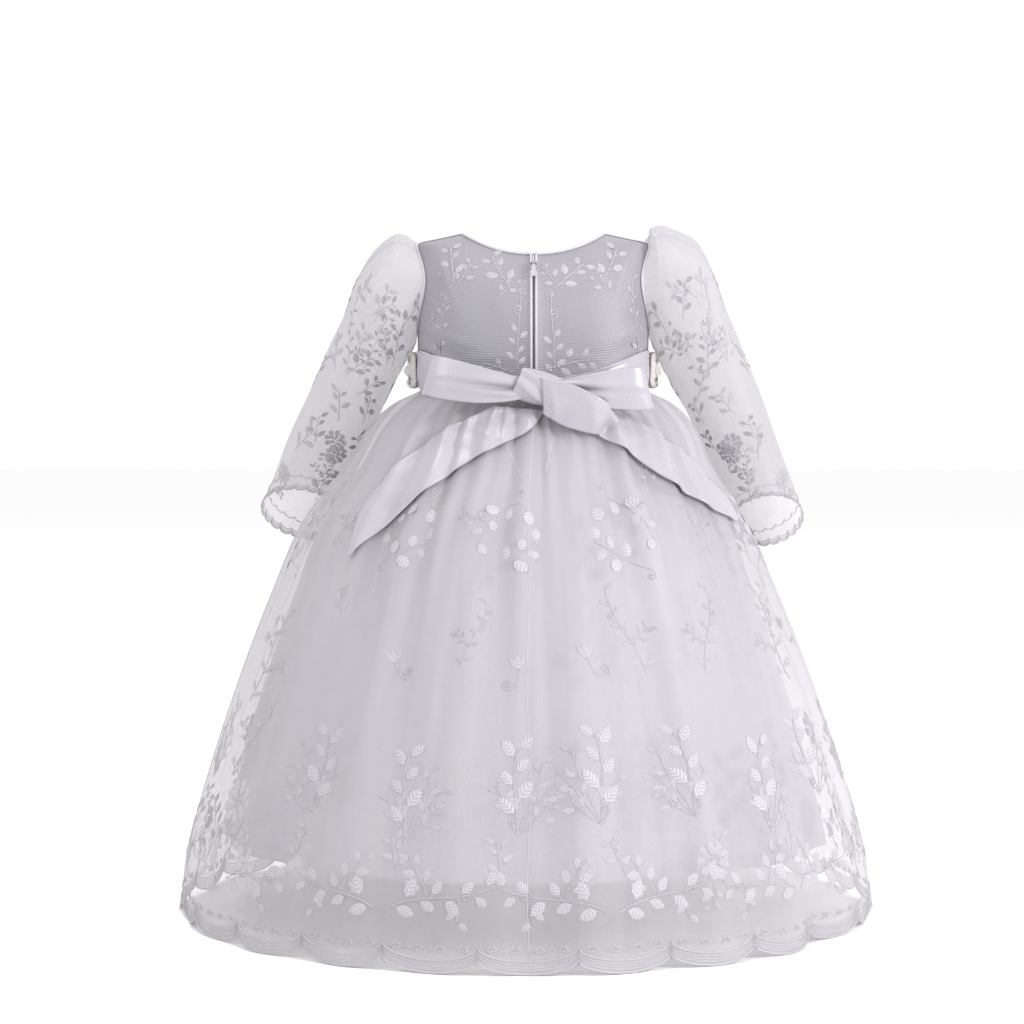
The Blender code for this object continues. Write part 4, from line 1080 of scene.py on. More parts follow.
@dataclass
class Motif:
    """A drawing in thread, in millimetres: strokes, and leaves by place, heading, length and width."""

    strokes: list = field(default_factory=list)
    leaves: list = field(default_factory=list)

    def stem(
        self, start: tuple, heading: float, length: float, bend: tuple = (0.0, 0.0), girth: float = 0.40
    ) -> tuple:
        """Draw a stem whose bend, in degrees a millimetre, changes evenly from one value to another.

        Args:
            start: Where it starts.
            heading: Its first direction in degrees.
            length: Its length.
            bend: The bend at its start and its end.
            girth: The thread's radius.

        Returns:
            Its points and its headings.
        """
        steps = max(int(length / 2.4), 4, int(abs(bend[0] + bend[1]) / 2.0 * length / 26.0))
        along = np.linspace(0.0, length, steps + 1)
        turns = heading + bend[0] * along + (bend[1] - bend[0]) * along**2 / (2.0 * length)
        middle = np.radians((turns[1:] + turns[:-1]) / 2.0)
        step = length / steps
        x = start[0] + np.concatenate([[0.0], np.cumsum(np.cos(middle) * step)])
        y = start[1] + np.concatenate([[0.0], np.cumsum(np.sin(middle) * step)])
        points = np.stack([x, y], axis=-1)
        self.strokes.append((points, girth))
        return points, turns

    def leaf(self, at: tuple, heading: float, length: float, width: float, rounded: bool = False) -> None:
        """Draw a leaf that starts at a point."""
        turn = math.radians(heading)
        centre = (at[0] + math.cos(turn) * length / 2.0, at[1] + math.sin(turn) * length / 2.0)
        self.leaves.append((*centre, heading, length, width, float(rounded)))

    def along(
        self, stem: tuple, places: tuple, length: float, width: float, rounded: bool = False,
        spread: float = 48.0, stalk_length: float = 2.4,
    ) -> None:
        """Draw leaves on stalks down a stem, to one side and then the other.

        Args:
            stem: The stem's points and headings.
            places: Shares of the stem's length.
            length: The first leaf's length; the others grow smaller.
            width: Its width.
            rounded: Whether the leaves are round.
            spread: The stalks' turn from the stem in degrees.
            stalk_length: How long the stalks are.
        """
        points, turns = stem
        for number, share in enumerate(places):
            index = min(int(share * (len(points) - 1)), len(points) - 1)
            side = 1.0 if number % 2 else -1.0
            heading = turns[index] + side * spread * (1.0 + 0.18 * math.sin(number * 2.3))
            size = 1.0 - 0.25 * share + 0.10 * math.sin(number * 1.9)
            stalk, _ = self.stem(tuple(points[index]), heading, stalk_length, (side * -4.0, 0.0), 0.30)
            self.leaf(tuple(stalk[-1]), heading, length * size, width * size, rounded)

    def curl(self, start: tuple, heading: float, radius: float, side: float = 1.0, lead: float = 1.0) -> None:
        """Draw a spiral that tightens to a dot."""
        tight = side * math.degrees(1.0 / (radius * 0.42))
        stem, _ = self.stem(start, heading, radius * 8.2 * lead, (side * 3.0, tight * 1.15))
        end = tuple(stem[-1])
        self.leaf((end[0] - radius * 0.2, end[1]), 0.0, radius * 0.42, radius * 0.42, True)


def spray() -> Motif:
    """Draw the hanging spray of round leaves under a curl."""
    motif = Motif()
    motif.curl((-2.0, 30.0), 158.0, 4.6, -1.0)
    right = motif.stem((-2.0, 30.0), -12.0, 52.0, (-1.5, -0.9), 0.36)
    motif.along(right, (0.16, 0.34, 0.52, 0.72, 0.99), 11.5, 9.0, True, 50.0, 2.0)
    left = motif.stem((-2.0, 30.0), -150.0, 12.0, (1.2, 4.0), 0.36)
    motif.leaf(tuple(left[0][-1]), -98.0, 12.0, 9.6, True)
    lower = motif.stem((20.0, -28.0), 158.0, 44.0, (-1.0, 1.0), 0.36)
    motif.along(lower, (0.30, 0.44, 0.62, 0.76, 0.99), 12.5, 9.2, True, 62.0, 3.2)
    motif.curl((20.0, -28.0), -20.0, 3.6, -1.0)
    twig = motif.stem(tuple(right[0][9]), 30.0, 14.0, (-1.0, 1.0), 0.30)
    motif.along(twig, (0.5, 0.75, 0.99), 6.4, 3.6, False, 40.0, 1.6)
    return motif


def tulip() -> Motif:
    """Draw a tulip on a stem that ends in a curl."""
    motif = Motif()
    for heading, width in ((128.0, 4.6), (100.0, 5.4), (72.0, 4.6)):
        motif.leaf((0.0, 0.0), heading, 13.0, width)
    stem = motif.stem((0.0, 0.0), -62.0, 15.0, (-1.4, 2.4))
    motif.curl(tuple(stem[0][-1]), -20.0, 4.6, 1.0)
    motif.leaf(tuple(stem[0][5]), 20.0, 8.0, 3.4)
    return motif


def branch() -> Motif:
    """Draw a tall branch of big striped leaves and long bare stems."""
    motif = Motif()
    main = motif.stem((0.0, -34.0), 96.0, 62.0, (-0.9, 1.5), 0.45)
    motif.along(main, (0.22, 0.38, 0.54, 0.70, 0.84, 0.99), 17.0, 9.6, False, 40.0)
    for heading, length, bend in (
        (132.0, 46.0, (-0.9, 1.5)),
        (64.0, 38.0, (1.2, -1.9)),
        (152.0, 30.0, (-0.6, -1.4)),
        (112.0, 54.0, (0.4, -0.9)),
    ):
        side = motif.stem((0.0, -34.0), heading, length, bend, 0.34)
        motif.along(side, (0.50, 0.66, 0.84, 0.99), 9.6, 4.8, False, 44.0, 3.4)
    motif.curl((0.0, -30.0), 20.0, 3.6, 1.0)
    for turn in range(5):
        motif.leaf((3.0, -12.0), 72.0 * turn + 10.0, 6.2, 4.6, True)
    return motif


def rose() -> Motif:
    """Draw a full round flower with leaves under it."""
    motif = Motif()
    for ring, (count, reach, length) in enumerate(((9, 8.6, 8.0), (6, 4.4, 6.6), (4, 1.4, 4.2))):
        for number in range(count):
            turn = 360.0 / count * number + ring * 21.0
            x, y = reach * math.cos(math.radians(turn)), reach * math.sin(math.radians(turn))
            motif.leaf((x, y), turn, length, length * 0.95, True)
    stem = motif.stem((2.0, -15.0), -70.0, 24.0, (-1.5, 1.0))
    motif.along(stem, (0.3, 0.5, 0.75, 0.98), 10.5, 5.4)
    motif.stem((-4.0, -14.0), -130.0, 16.0, (2.0, 2.0))
    return motif


def vine() -> Motif:
    """Draw a climbing vine of paired leaves, serrated sprigs and a curl."""
    motif = Motif()
    main = motif.stem((0.0, -40.0), 84.0, 84.0, (1.3, -1.5), 0.42)
    motif.along(main, (0.08, 0.14, 0.30, 0.36, 0.50, 0.56, 0.74, 0.80, 0.99), 9.5, 4.6, False, 52.0)
    twig = motif.stem(tuple(main[0][12]), 22.0, 24.0, (1.6, -0.8), 0.34)
    motif.along(twig, (0.35, 0.5, 0.7, 0.86, 0.99), 7.5, 3.6, False, 50.0)
    motif.curl(tuple(main[0][22]), 175.0, 3.8, -1.0)
    return motif


def garland() -> Motif:
    """Draw one length of the leafy band that runs above the hem."""
    motif = Motif()
    main = motif.stem((-36.0, -6.0), 30.0, 80.0, (-1.3, 1.35), 0.44)
    motif.along(main, (0.06, 0.17, 0.30, 0.42, 0.54, 0.67, 0.80, 0.93), 15.0, 8.6, False, 46.0, 3.0)
    twig = motif.stem((-8.0, 4.0), 104.0, 30.0, (2.4, -1.8), 0.38)
    motif.along(twig, (0.30, 0.52, 0.74, 0.98), 12.0, 7.2, False, 44.0)
    drop = motif.stem((16.0, 3.0), -84.0, 18.0, (-2.6, 2.0), 0.38)
    motif.along(drop, (0.45, 0.98), 10.0, 5.6, False, 44.0)
    motif.curl((14.0, 2.0), 70.0, 4.0, -1.0)
    for turn in range(5):
        motif.leaf((-20.0, 9.0), 72.0 * turn, 6.4, 5.0, True)
    return motif


def sprig() -> Motif:
    """Draw a small sprig of five leaves."""
    motif = Motif()
    main = motif.stem((0.0, -14.0), 80.0, 26.0, (0.8, -1.2), 0.36)
    motif.along(main, (0.25, 0.45, 0.62, 0.80, 0.99), 8.6, 4.6, False, 48.0)
    return motif


def column() -> Motif:
    """Draw the slim climber beside the zip: curls, then leaves."""
    motif = Motif()
    main = motif.stem((0.0, -38.0), 92.0, 66.0, (-0.5, 0.4), 0.34)
    motif.along(main, (0.05, 0.13, 0.21, 0.30, 0.39, 0.48), 8.6, 4.6, False, 44.0)
    motif.curl(tuple(main[0][18]), 150.0, 3.6, -1.0)
    motif.curl(tuple(main[0][24]), 30.0, 3.2, 1.0)
    return motif


@dataclass
class Embroidery:
    """Threads and leaves gathered on forms, and then made in one go."""

    name: str
    finish: str = "white_thread"
    lines: list = field(default_factory=list)
    stamps: list = field(default_factory=list)

    leaf_rise = 0.10

    def place(
        self, motif: Motif, form: Form, at: tuple, turn: float, size: float, flip: bool,
        limit: tuple = (-9.0, 9.0),
    ) -> None:
        """Put a motif on a form.

        Args:
            motif: The drawing.
            form: The surface.
            at: Across and up of its centre.
            turn: Its turn in degrees.
            size: Its scale.
            flip: Whether it is mirrored.
            limit: The lowest and highest up that its leaves and threads may reach.
        """
        across, above = form.slopes(np.array(at[0]), np.array(at[1]))
        scale = np.array([np.linalg.norm(across), np.linalg.norm(above)])
        angle, hand = math.radians(turn), -1.0 if flip else 1.0
        spin = np.array([[math.cos(angle), math.sin(angle)], [-math.sin(angle), math.cos(angle)]])

        def lay(points: np.ndarray) -> np.ndarray:
            turned = (points * [hand, 1.0]) @ spin * size * MILLIMETRE
            return np.array(at) + turned / scale

        for points, girth in motif.strokes:
            laid = lay(points)
            inside = (laid[:, 1] > limit[0]) & (laid[:, 1] < limit[1])
            if inside.all():
                self.line(form.point(laid[:, 0], laid[:, 1], THREAD_LIFT), girth * size * MILLIMETRE)
        rows = []
        for x, y, heading, length, width, rounded in motif.leaves:
            heading = 180.0 - heading if flip else heading
            spot = lay(np.array([x, y]))
            if limit[0] < spot[1] < limit[1]:
                rows.append((spot[0], spot[1], math.radians(heading) + angle, length, width, rounded))
        if rows:
            self.stamp(form, np.array(rows), size)

    def stamp(self, form: Form, rows: np.ndarray, size: float) -> None:
        """Turn leaves into places, turns and sizes in space."""
        centre = form.point(rows[:, 0], rows[:, 1], THREAD_LIFT)
        across, above = (unit(side) for side in form.slopes(rows[:, 0], rows[:, 1]))
        normal = unit(np.cross(across, above))
        along = unit(across * np.cos(rows[:, 2:3]) + above * np.sin(rows[:, 2:3]))
        along = unit(along - normal * (along * normal).sum(axis=-1, keepdims=True))
        over = np.cross(normal, along)
        for i, row in enumerate(rows):
            turn = Matrix((along[i], over[i], normal[i])).transposed().to_euler()
            wide = row[4] * size * MILLIMETRE
            scale = (row[3] * size * MILLIMETRE, wide, wide * self.leaf_rise)
            self.stamps.append((centre[i], tuple(turn), scale, row[5]))

    def petal(self, place: np.ndarray, size: tuple) -> None:
        """Stand a round leaf at a point, with its face towards the gown's back."""
        self.stamps.append((place, (math.radians(90.0), 0.0, 0.0), size, 1.0))

    def line(self, points: np.ndarray, girth: float) -> None:
        """Add a thread through points, with its radius in metres."""
        self.lines.append((np.asarray(points), girth))

    def make(self, room: Cloakroom, trees: dict, slot: Slot, sides: int = 5) -> None:
        """Make the threads and the leaves, each as one piece."""
        pieces = []
        if self.lines:
            counts = [len(points) for points, _ in self.lines]
            mesh = bpy.data.meshes.new(f"{self.name}_lines")
            starts = np.concatenate([[0], np.cumsum(counts)[:-1]])
            edges = [(s + i, s + i + 1) for s, count in zip(starts, counts) for i in range(count - 1)]
            mesh.from_pydata(np.concatenate([points for points, _ in self.lines]).tolist(), edges, [])
            girth = mesh.attributes.new("girth", "FLOAT", "POINT")
            girth.data.foreach_set("value", np.repeat([g for _, g in self.lines], counts).astype(np.float32))
            values = {"Sides": sides, "Material": room.materials[self.finish]}
            pieces.append(realised(f"{self.name}_threads", mesh, trees["threads"], values))
        if self.stamps:
            mesh = bpy.data.meshes.new(f"{self.name}_points")
            mesh.from_pydata([tuple(stamp[0]) for stamp in self.stamps], [], [])
            kinds = (("turn", "FLOAT_VECTOR"), ("size", "FLOAT_VECTOR"), ("round", "FLOAT"))
            for index, (title, kind) in enumerate(kinds, start=1):
                layer = mesh.attributes.new(title, kind, "POINT")
                flat = np.array([stamp[index] for stamp in self.stamps], dtype=np.float32).reshape(-1)
                layer.data.foreach_set("value" if kind == "FLOAT" else "vector", flat)
            values = {"Material": room.materials[self.finish]}
            pieces.append(realised(f"{self.name}_leaves", mesh, trees["leaves"], values))
        for piece in pieces:
            room.hand_over(piece, self.finish)


@dataclass
class Bodice:
    """The front and the two backs, with their piping and embroidery."""

    waist: float = -0.128
    back_neck: float = -0.018
    front_neck: float = -0.036
    neck_width: float = 0.120
    neck_share: float = 0.55
    armhole_share: float = 0.7
    first_share: float = 0.07
    rows: int = 60
    columns: int = 52
    cloth: float = 0.0009
    neck_piping: float = 0.0011
    armhole_piping: float = 0.0012
    lip_cord: float = 0.0010
    lip_rise: float = 0.0013
    front_rim: tuple = (0.235, 0.765)
    lips: tuple = (0.0004, 0.0007, 0.0012, 0.0018, 0.0026, 0.0034, 0.0042, 0.0052)

    def top_edge(self, share: np.ndarray, centre: float) -> tuple:
        """Give the neckline and then the shoulder seam: how far out, and how high."""
        neck = np.clip(share / self.neck_share, 0.0, 1.0)
        seam = np.clip((share - self.neck_share) / (1.0 - self.neck_share), 0.0, 1.0)
        height = np.where(share < self.neck_share, centre * (1.0 - neck**2.2), SHOULDER * seam)
        width = smooth_read(TORSO, SHOULDER * seam)[..., 0]
        return np.where(share < self.neck_share, self.neck_width / 2.0 * neck, width), height

    def outer_edge(self, down: np.ndarray) -> tuple:
        """Give the armhole and then the side seam: how far out, and how high."""
        fall = np.clip(down / self.armhole_share, 0.0, 1.0)
        side = np.clip((down - self.armhole_share) / (1.0 - self.armhole_share), 0.0, 1.0)
        azimuth, height = armhole_place(fall)
        height = height + (self.waist - ARMPIT) * side
        hole = Torso().round(azimuth, height)[..., 0]
        return np.where(down <= self.armhole_share, hole, smooth_read(TORSO, height)[..., 0]), height

    def half(self, centre: float, torso: Torso) -> np.ndarray:
        """Give the right half of a panel, blended from its four edges, centre to side."""
        down = np.linspace(0.0, 1.0, self.rows + 1)[:, None]
        share = np.linspace(self.first_share, 1.0, self.columns)[None, :]
        middle = centre + (self.waist - centre) * down**1.2
        top_x, top_z = self.top_edge(share, centre)
        tip_x, _ = self.top_edge(np.array(1.0), centre)
        edge_x, edge_z = self.outer_edge(down)
        foot = torso.round(90.0 * share, self.waist)[..., 0]
        waist_width = float(smooth_read(TORSO, np.array(self.waist))[0])
        x = (1 - down) * top_x + down * foot + share * (edge_x - (1 - down) * tip_x)
        x = x - share * down * waist_width
        z = (1 - down) * top_z + down * self.waist + (1 - share) * middle + share * edge_z
        z = z - (1 - down) * ((1 - share) * centre + share * SHOULDER) - down * self.waist
        first = np.array(self.lips)[None, :] + 0.0 * down
        bump = np.sin(np.pi * (first - self.lips[0]) / (self.lips[-1] - self.lips[0])) ** 0.8 * self.lip_rise
        rise = self.wrinkles(x, z)
        whole_x = np.concatenate([first, x], axis=1)
        whole_z = np.concatenate([middle + 0.0 * first, z], axis=1)
        whole_out = np.concatenate([bump, rise], axis=1)
        return torso.point(-whole_x if torso.front else whole_x, whole_z, whole_out)

    def wrinkles(self, x: np.ndarray, z: np.ndarray) -> np.ndarray:
        """Give the soft pull lines from the armpit and above the sash."""
        total = np.zeros(np.broadcast(x, z).shape)
        for at_x, at_z, turn, length, width, rise in (
            (0.080, -0.084, 20.0, 0.030, 0.0040, 0.0010),
            (0.075, -0.097, 30.0, 0.026, 0.0035, -0.0008),
            (0.060, -0.112, 8.0, 0.030, 0.0030, 0.0007),
            (0.035, -0.104, -6.0, 0.024, 0.0030, 0.0006),
            (0.072, -0.040, 74.0, 0.022, 0.0040, 0.0008),
            (0.028, -0.060, 82.0, 0.030, 0.0060, 0.0005),
        ):
            angle = math.radians(turn)
            along = (x - at_x) * math.cos(angle) + (z - at_z) * math.sin(angle)
            over = (z - at_z) * math.cos(angle) - (x - at_x) * math.sin(angle)
            total = total + rise * np.exp(-((along / length) ** 2) - (over / width) ** 2)
        return total * np.clip((0.094 - x) / 0.012, 0.0, 1.0)

    def build(self, room: Cloakroom, trees: dict) -> None:
        """Make the panels, the piping and the embroidery."""
        back, front = Torso(), Torso(front=True)
        half = self.half(self.back_neck, back)
        mirror = (half * [-1.0, 1.0, 1.0])[:, ::-1]
        face = self.half(self.front_neck, front)
        skip = len(self.lips)
        face = np.concatenate([(face * [-1.0, 1.0, 1.0])[:, : skip - 1 : -1], face[:, skip:]], axis=1)
        panels = (
            ("bodice_back_right", half, "zip_tape"),
            ("bodice_back_left", mirror, "zip_tape"),
            ("bodice_front", face, "bodice_back_left"),
        )
        for name, grid, rest in panels:
            room.sheet(
                f"{name}_cloth", grid, "ribbed_satin", name, self.cloth
            )
        trims = Embroidery("bodice_piping", "lace_thread")
        for grid in (half, mirror):
            rim = grid[0, :, :] + [0.0, -0.0002, 0.0004]
            columns = int(len(rim) * 0.52) + 4
            trims.line(rim[:columns] if grid is half else rim[::-1][:columns], self.neck_piping)
        low, high = (int(face.shape[1] * share) for share in self.front_rim)
        trims.line(face[0, ::-1][low:high] + [0.0, 0.0002, 0.0004], self.neck_piping)
        for hand in (-1, 1):
            seam = Arm(SLEEVE_LEFT, hand).armhole(np.linspace(0.0, 360.0, 145))
            away = unit(seam * [0.0, 1.0, 1.0] + [0.0, 0.0, 0.045])
            trims.line(seam + [hand * 0.0003, 0.0, 0.0] + away * 0.0006, self.armhole_piping)
            heights = np.linspace(self.back_neck, self.waist, 90)
            trims.line(back.point(np.full(90, hand * 0.0021), heights, 0.0010), self.lip_cord)
        trims.make(room, trees, Slot.BODICE, 8)
        self.embroider(room, trees, back, front)

    def embroider(self, room: Cloakroom, trees: dict, back: Torso, front: Torso) -> None:
        """Stitch the climbers, sprigs and curls of the lace."""
        work = Embroidery("bodice_lace")
        tall, small, climb, hang = column(), sprig(), vine(), spray()
        limit = (-0.124, -0.006)
        for drawing, at, turn, size, flip in (
            (tall, (-0.0150, -0.076), 2.0, 1.02, False),
            (tall, (0.0185, -0.080), -3.0, 1.08, True),
            (small, (0.0285, -0.034), -38.0, 1.35, False),
            (small, (0.0150, -0.036), 30.0, 1.0, True),
            (small, (-0.0300, -0.034), 34.0, 1.4, False),
            (small, (-0.0200, -0.047), -46.0, 0.9, True),
            (small, (-0.0700, -0.026), 14.0, 1.3, False),
            (small, (-0.0560, -0.036), -40.0, 1.0, True),
            (small, (0.0660, -0.028), -30.0, 1.4, True),
            (small, (0.0560, -0.044), 46.0, 0.95, False),
            (climb, (-0.0800, -0.070), 6.0, 0.82, True),
            (climb, (0.0880, -0.072), -4.0, 0.84, False),
            (small, (0.0300, -0.106), -70.0, 1.35, False),
            (small, (-0.0300, -0.110), 66.0, 1.0, True),
        ):
            work.place(drawing, back, at, turn, size, flip, limit)
        for hand in (-1.0, 1.0):
            flip = hand < 0
            for drawing, across, up, turn, size in (
                (climb, 0.070, -0.070, 4.0, 0.74),
                (hang, 0.024, -0.072, 8.0, 0.72),
                (small, 0.048, -0.036, -24.0, 1.0),
                (small, 0.048, -0.096, 150.0, 0.9),
                (small, 0.010, -0.108, 80.0, 0.9),
            ):
                work.place(drawing, front, (across * hand, up), turn * hand, size, flip, (-0.124, -0.012))
        work.make(room, trees, Slot.BODICE)


@dataclass
class Skirt:
    """The tulle overlay, its embroidery and scroll border, and the lining under it."""

    overlay: Overlay = field(default_factory=Overlay)
    under: Underskirt = field(default_factory=Underskirt)
    turn: float = 0.625
    rows: int = 150
    top: float = -0.1285
    lining_rows: int = 90
    lining_turn: float = 1.2
    lining_cloth: float = 0.0006
    garlands: int = 20

    # where each pulled thread starts and stops: azimuth, height
    pulls = (
        ((-8.2, -0.176), (-2.2, -0.201)),
        ((-29.5, -0.190), (-30.5, -0.212)),
        ((-38.0, -0.232), (-37.0, -0.296)),
        ((37.0, -0.203), (34.0, -0.262)),
        ((53.0, -0.226), (52.0, -0.256)),
        ((8.0, -0.160), (4.5, -0.196)),
    )

    # cords along the hem: height over the edge, girth
    cords = ((0.0006, 0.0009), (0.0030, 0.0005), (0.0052, 0.0005), (0.0074, 0.0005), (0.0100, 0.0007))

    def build(self, room: Cloakroom, trees: dict) -> None:
        """Make every piece of the skirt."""
        spans = {
            "skirt_overlay_back_right": (0.0, 90.0),
            "skirt_overlay_front": (90.0, 270.0),
            "skirt_overlay_back_left": (-90.0, 0.0),
        }
        for name, (start, stop) in spans.items():
            azimuths = np.linspace(start, stop, round((stop - start) / self.turn) + 1)
            share = np.linspace(0.0, 1.0, self.rows + 1)[:, None] ** 1.12
            heights = self.top + (self.overlay.edge(azimuths)[None, :] - self.top) * share
            grid = self.overlay.point(azimuths[None, :], heights)
            room.sheet(f"{name}_tulle", grid, "sheer_tulle", name)
        for name, start in (("skirt_lining_back", -90.0), ("skirt_lining_front", 90.0)):
            azimuths = np.linspace(start, start + 180.0, round(180.0 / self.lining_turn) + 1)
            heights = np.linspace(self.top, self.under.hem, self.lining_rows + 1)[:, None]
            grid = self.under.point(azimuths[None, :], heights)
            room.sheet(
                f"{name}_cloth", grid, "lining_cloth", name,
                self.lining_cloth,
            )
        self.seams(room, trees)
        self.border(room, trees)
        self.embroider(room, trees)

    def seams(self, room: Cloakroom, trees: dict) -> None:
        """Make the centre back and side seams, and the lining's stitched hem."""
        work = Embroidery("skirt_seams", "lace_thread")
        heights = np.linspace(-0.150, -0.566, 90)
        for azimuth, girth in ((0.2, 0.0003), (90.0, 0.0004), (-90.0, 0.0004)):
            wander = azimuth + 0.25 * np.sin(heights * 40.0)
            work.line(self.overlay.point(wander, heights, 0.0001), girth)
        for start, stop in self.pulls:
            places = np.linspace(start, stop, 16)
            work.line(self.overlay.point(places[:, 0], places[:, 1], 0.0001), 0.00028)
        for rise in (0.008, 0.010):
            azimuths = np.linspace(0.0, 360.0, 361)
            work.line(self.under.point(azimuths, np.full(361, self.under.hem + rise), 0.0001), 0.00035)
        work.make(room, trees, Slot.TULLE)

    def border(self, room: Cloakroom, trees: dict) -> None:
        """Stitch the scalloped hem: corded edge, satin bands and a row of scrolls."""
        work = Embroidery("hem_border")
        azimuths = np.linspace(0.0, 360.0, 961)
        edge = self.overlay.edge(azimuths)
        for rise, girth in self.cords:
            work.line(self.overlay.point(azimuths, edge + rise, 0.0002), girth)
        scroll = Motif()
        scroll.curl((-4.4, -2.6), 60.0, 3.2, -1.0)
        scroll.curl((4.4, -2.6), 120.0, 3.2, 1.0)
        scroll.stem((-9.0, -1.0), -20.0, 18.4, (1.2, 1.2), 0.34)
        pitch = 360.0 / self.overlay.scallops
        for number in range(self.overlay.scallops):
            for place in (-0.36, -0.12, 0.12, 0.36):
                azimuth = pitch * (number + place)
                drop = (0.5 - abs(place)) * 0.004
                at = (azimuth, self.overlay.hem + 0.0215 - drop)
                tilt = place * -26.0
                work.place(scroll, self.overlay, at, tilt, 0.92, number % 2 == 0)
        work.make(room, trees, Slot.TULLE)

    def embroider(self, room: Cloakroom, trees: dict) -> None:
        """Stitch the sprays, tulips, branches, roses and the leafy band."""
        work = Embroidery("skirt_lace")
        limit = (self.overlay.hem + 0.028, -0.1500)
        drawings = {
            "spray": spray(), "tulip": tulip(), "branch": branch(), "rose": rose(), "vine": vine(),
            "garland": garland(), "sprig": sprig(),
        }
        layout = [
            ("spray", -29.5, -0.244, -6.0, 1.00, True), ("spray", -2.6, -0.246, 4.0, 1.02, True),
            ("spray", 22.0, -0.244, 0.0, 1.12, False), ("sprig", -14.0, -0.232, 80.0, 0.9, False),
            ("tulip", 11.8, -0.338, 0.0, 1.05, False), ("tulip", -1.6, -0.346, 20.0, 0.95, True),
            ("tulip", -27.0, -0.344, 10.0, 1.0, False), ("vine", -62.5, -0.350, -22.0, 1.0, False),
            ("vine", -62.0, -0.405, -14.0, 1.05, True), ("rose", -60.0, -0.462, 0.0, 1.15, False),
            ("branch", -39.0, -0.428, -4.0, 1.05, False), ("branch", -21.0, -0.440, 6.0, 1.1, True),
            ("branch", -2.0, -0.432, 2.0, 1.1, True), ("branch", 12.5, -0.424, -2.0, 1.15, False),
            ("branch", 28.5, -0.424, 4.0, 1.1, False), ("branch", 45.0, -0.440, -4.0, 1.15, True),
            ("vine", 22.5, -0.318, 10.0, 0.95, False), ("vine", 39.0, -0.320, -6.0, 0.9, True),
            ("vine", 62.0, -0.330, 14.0, 1.0, True), ("branch", 62.0, -0.425, 8.0, 1.05, True),
            ("rose", 31.0, -0.492, 0.0, 0.95, True), ("rose", 70.0, -0.470, 0.0, 1.05, True),
            ("vine", -12.0, -0.320, -6.0, 0.7, True), ("sprig", -45.0, -0.300, 20.0, 1.0, False),
            ("vine", 50.0, -0.240, 8.0, 0.7, False), ("vine", -52.0, -0.235, -14.0, 0.75, True),
            ("sprig", 38.0, -0.200, 30.0, 0.8, False), ("sprig", -36.0, -0.185, -40.0, 0.8, True),
            ("spray", 76.0, -0.262, 10.0, 0.9, True), ("branch", -78.0, -0.420, -6.0, 1.05, False),
            ("spray", -78.0, -0.256, 0.0, 0.9, False),
        ]
        hidden = ("spray", "tulip", "vine", "branch", "rose", "branch")
        for number, azimuth in enumerate(np.arange(92.0, 268.0, 16.0)):
            sway = 3.0 * math.sin(number * 2.1)
            middle, low = hidden[1 + number % 2], hidden[3 + number % 3]
            layout.append(("spray", azimuth + sway, -0.246, sway * 4.0, 1.0, number % 2 == 0))
            layout.append((middle, azimuth + 7.0 - sway, -0.338, sway * 3.0, 0.95, number % 3 == 0))
            layout.append((low, azimuth - sway, -0.430, sway * 2.0, 1.1, number % 2 == 1))
        pitch = 360.0 / self.garlands
        for number in range(self.garlands):
            tilt, lean = 3.0 * math.sin(number), 30.0 * math.sin(number * 1.7)
            layout.append(("garland", pitch * number + 4.0, -0.5175, tilt, 1.08, number % 2 == 0))
            layout.append(("sprig", pitch * number - 4.0, -0.486, lean, 1.2, number % 3 == 0))
        for name, azimuth, height, turn, size, flip in layout:
            work.place(drawings[name], self.overlay, (azimuth, height), turn, size, flip, limit)
        work.make(room, trees, Slot.TULLE, 4)


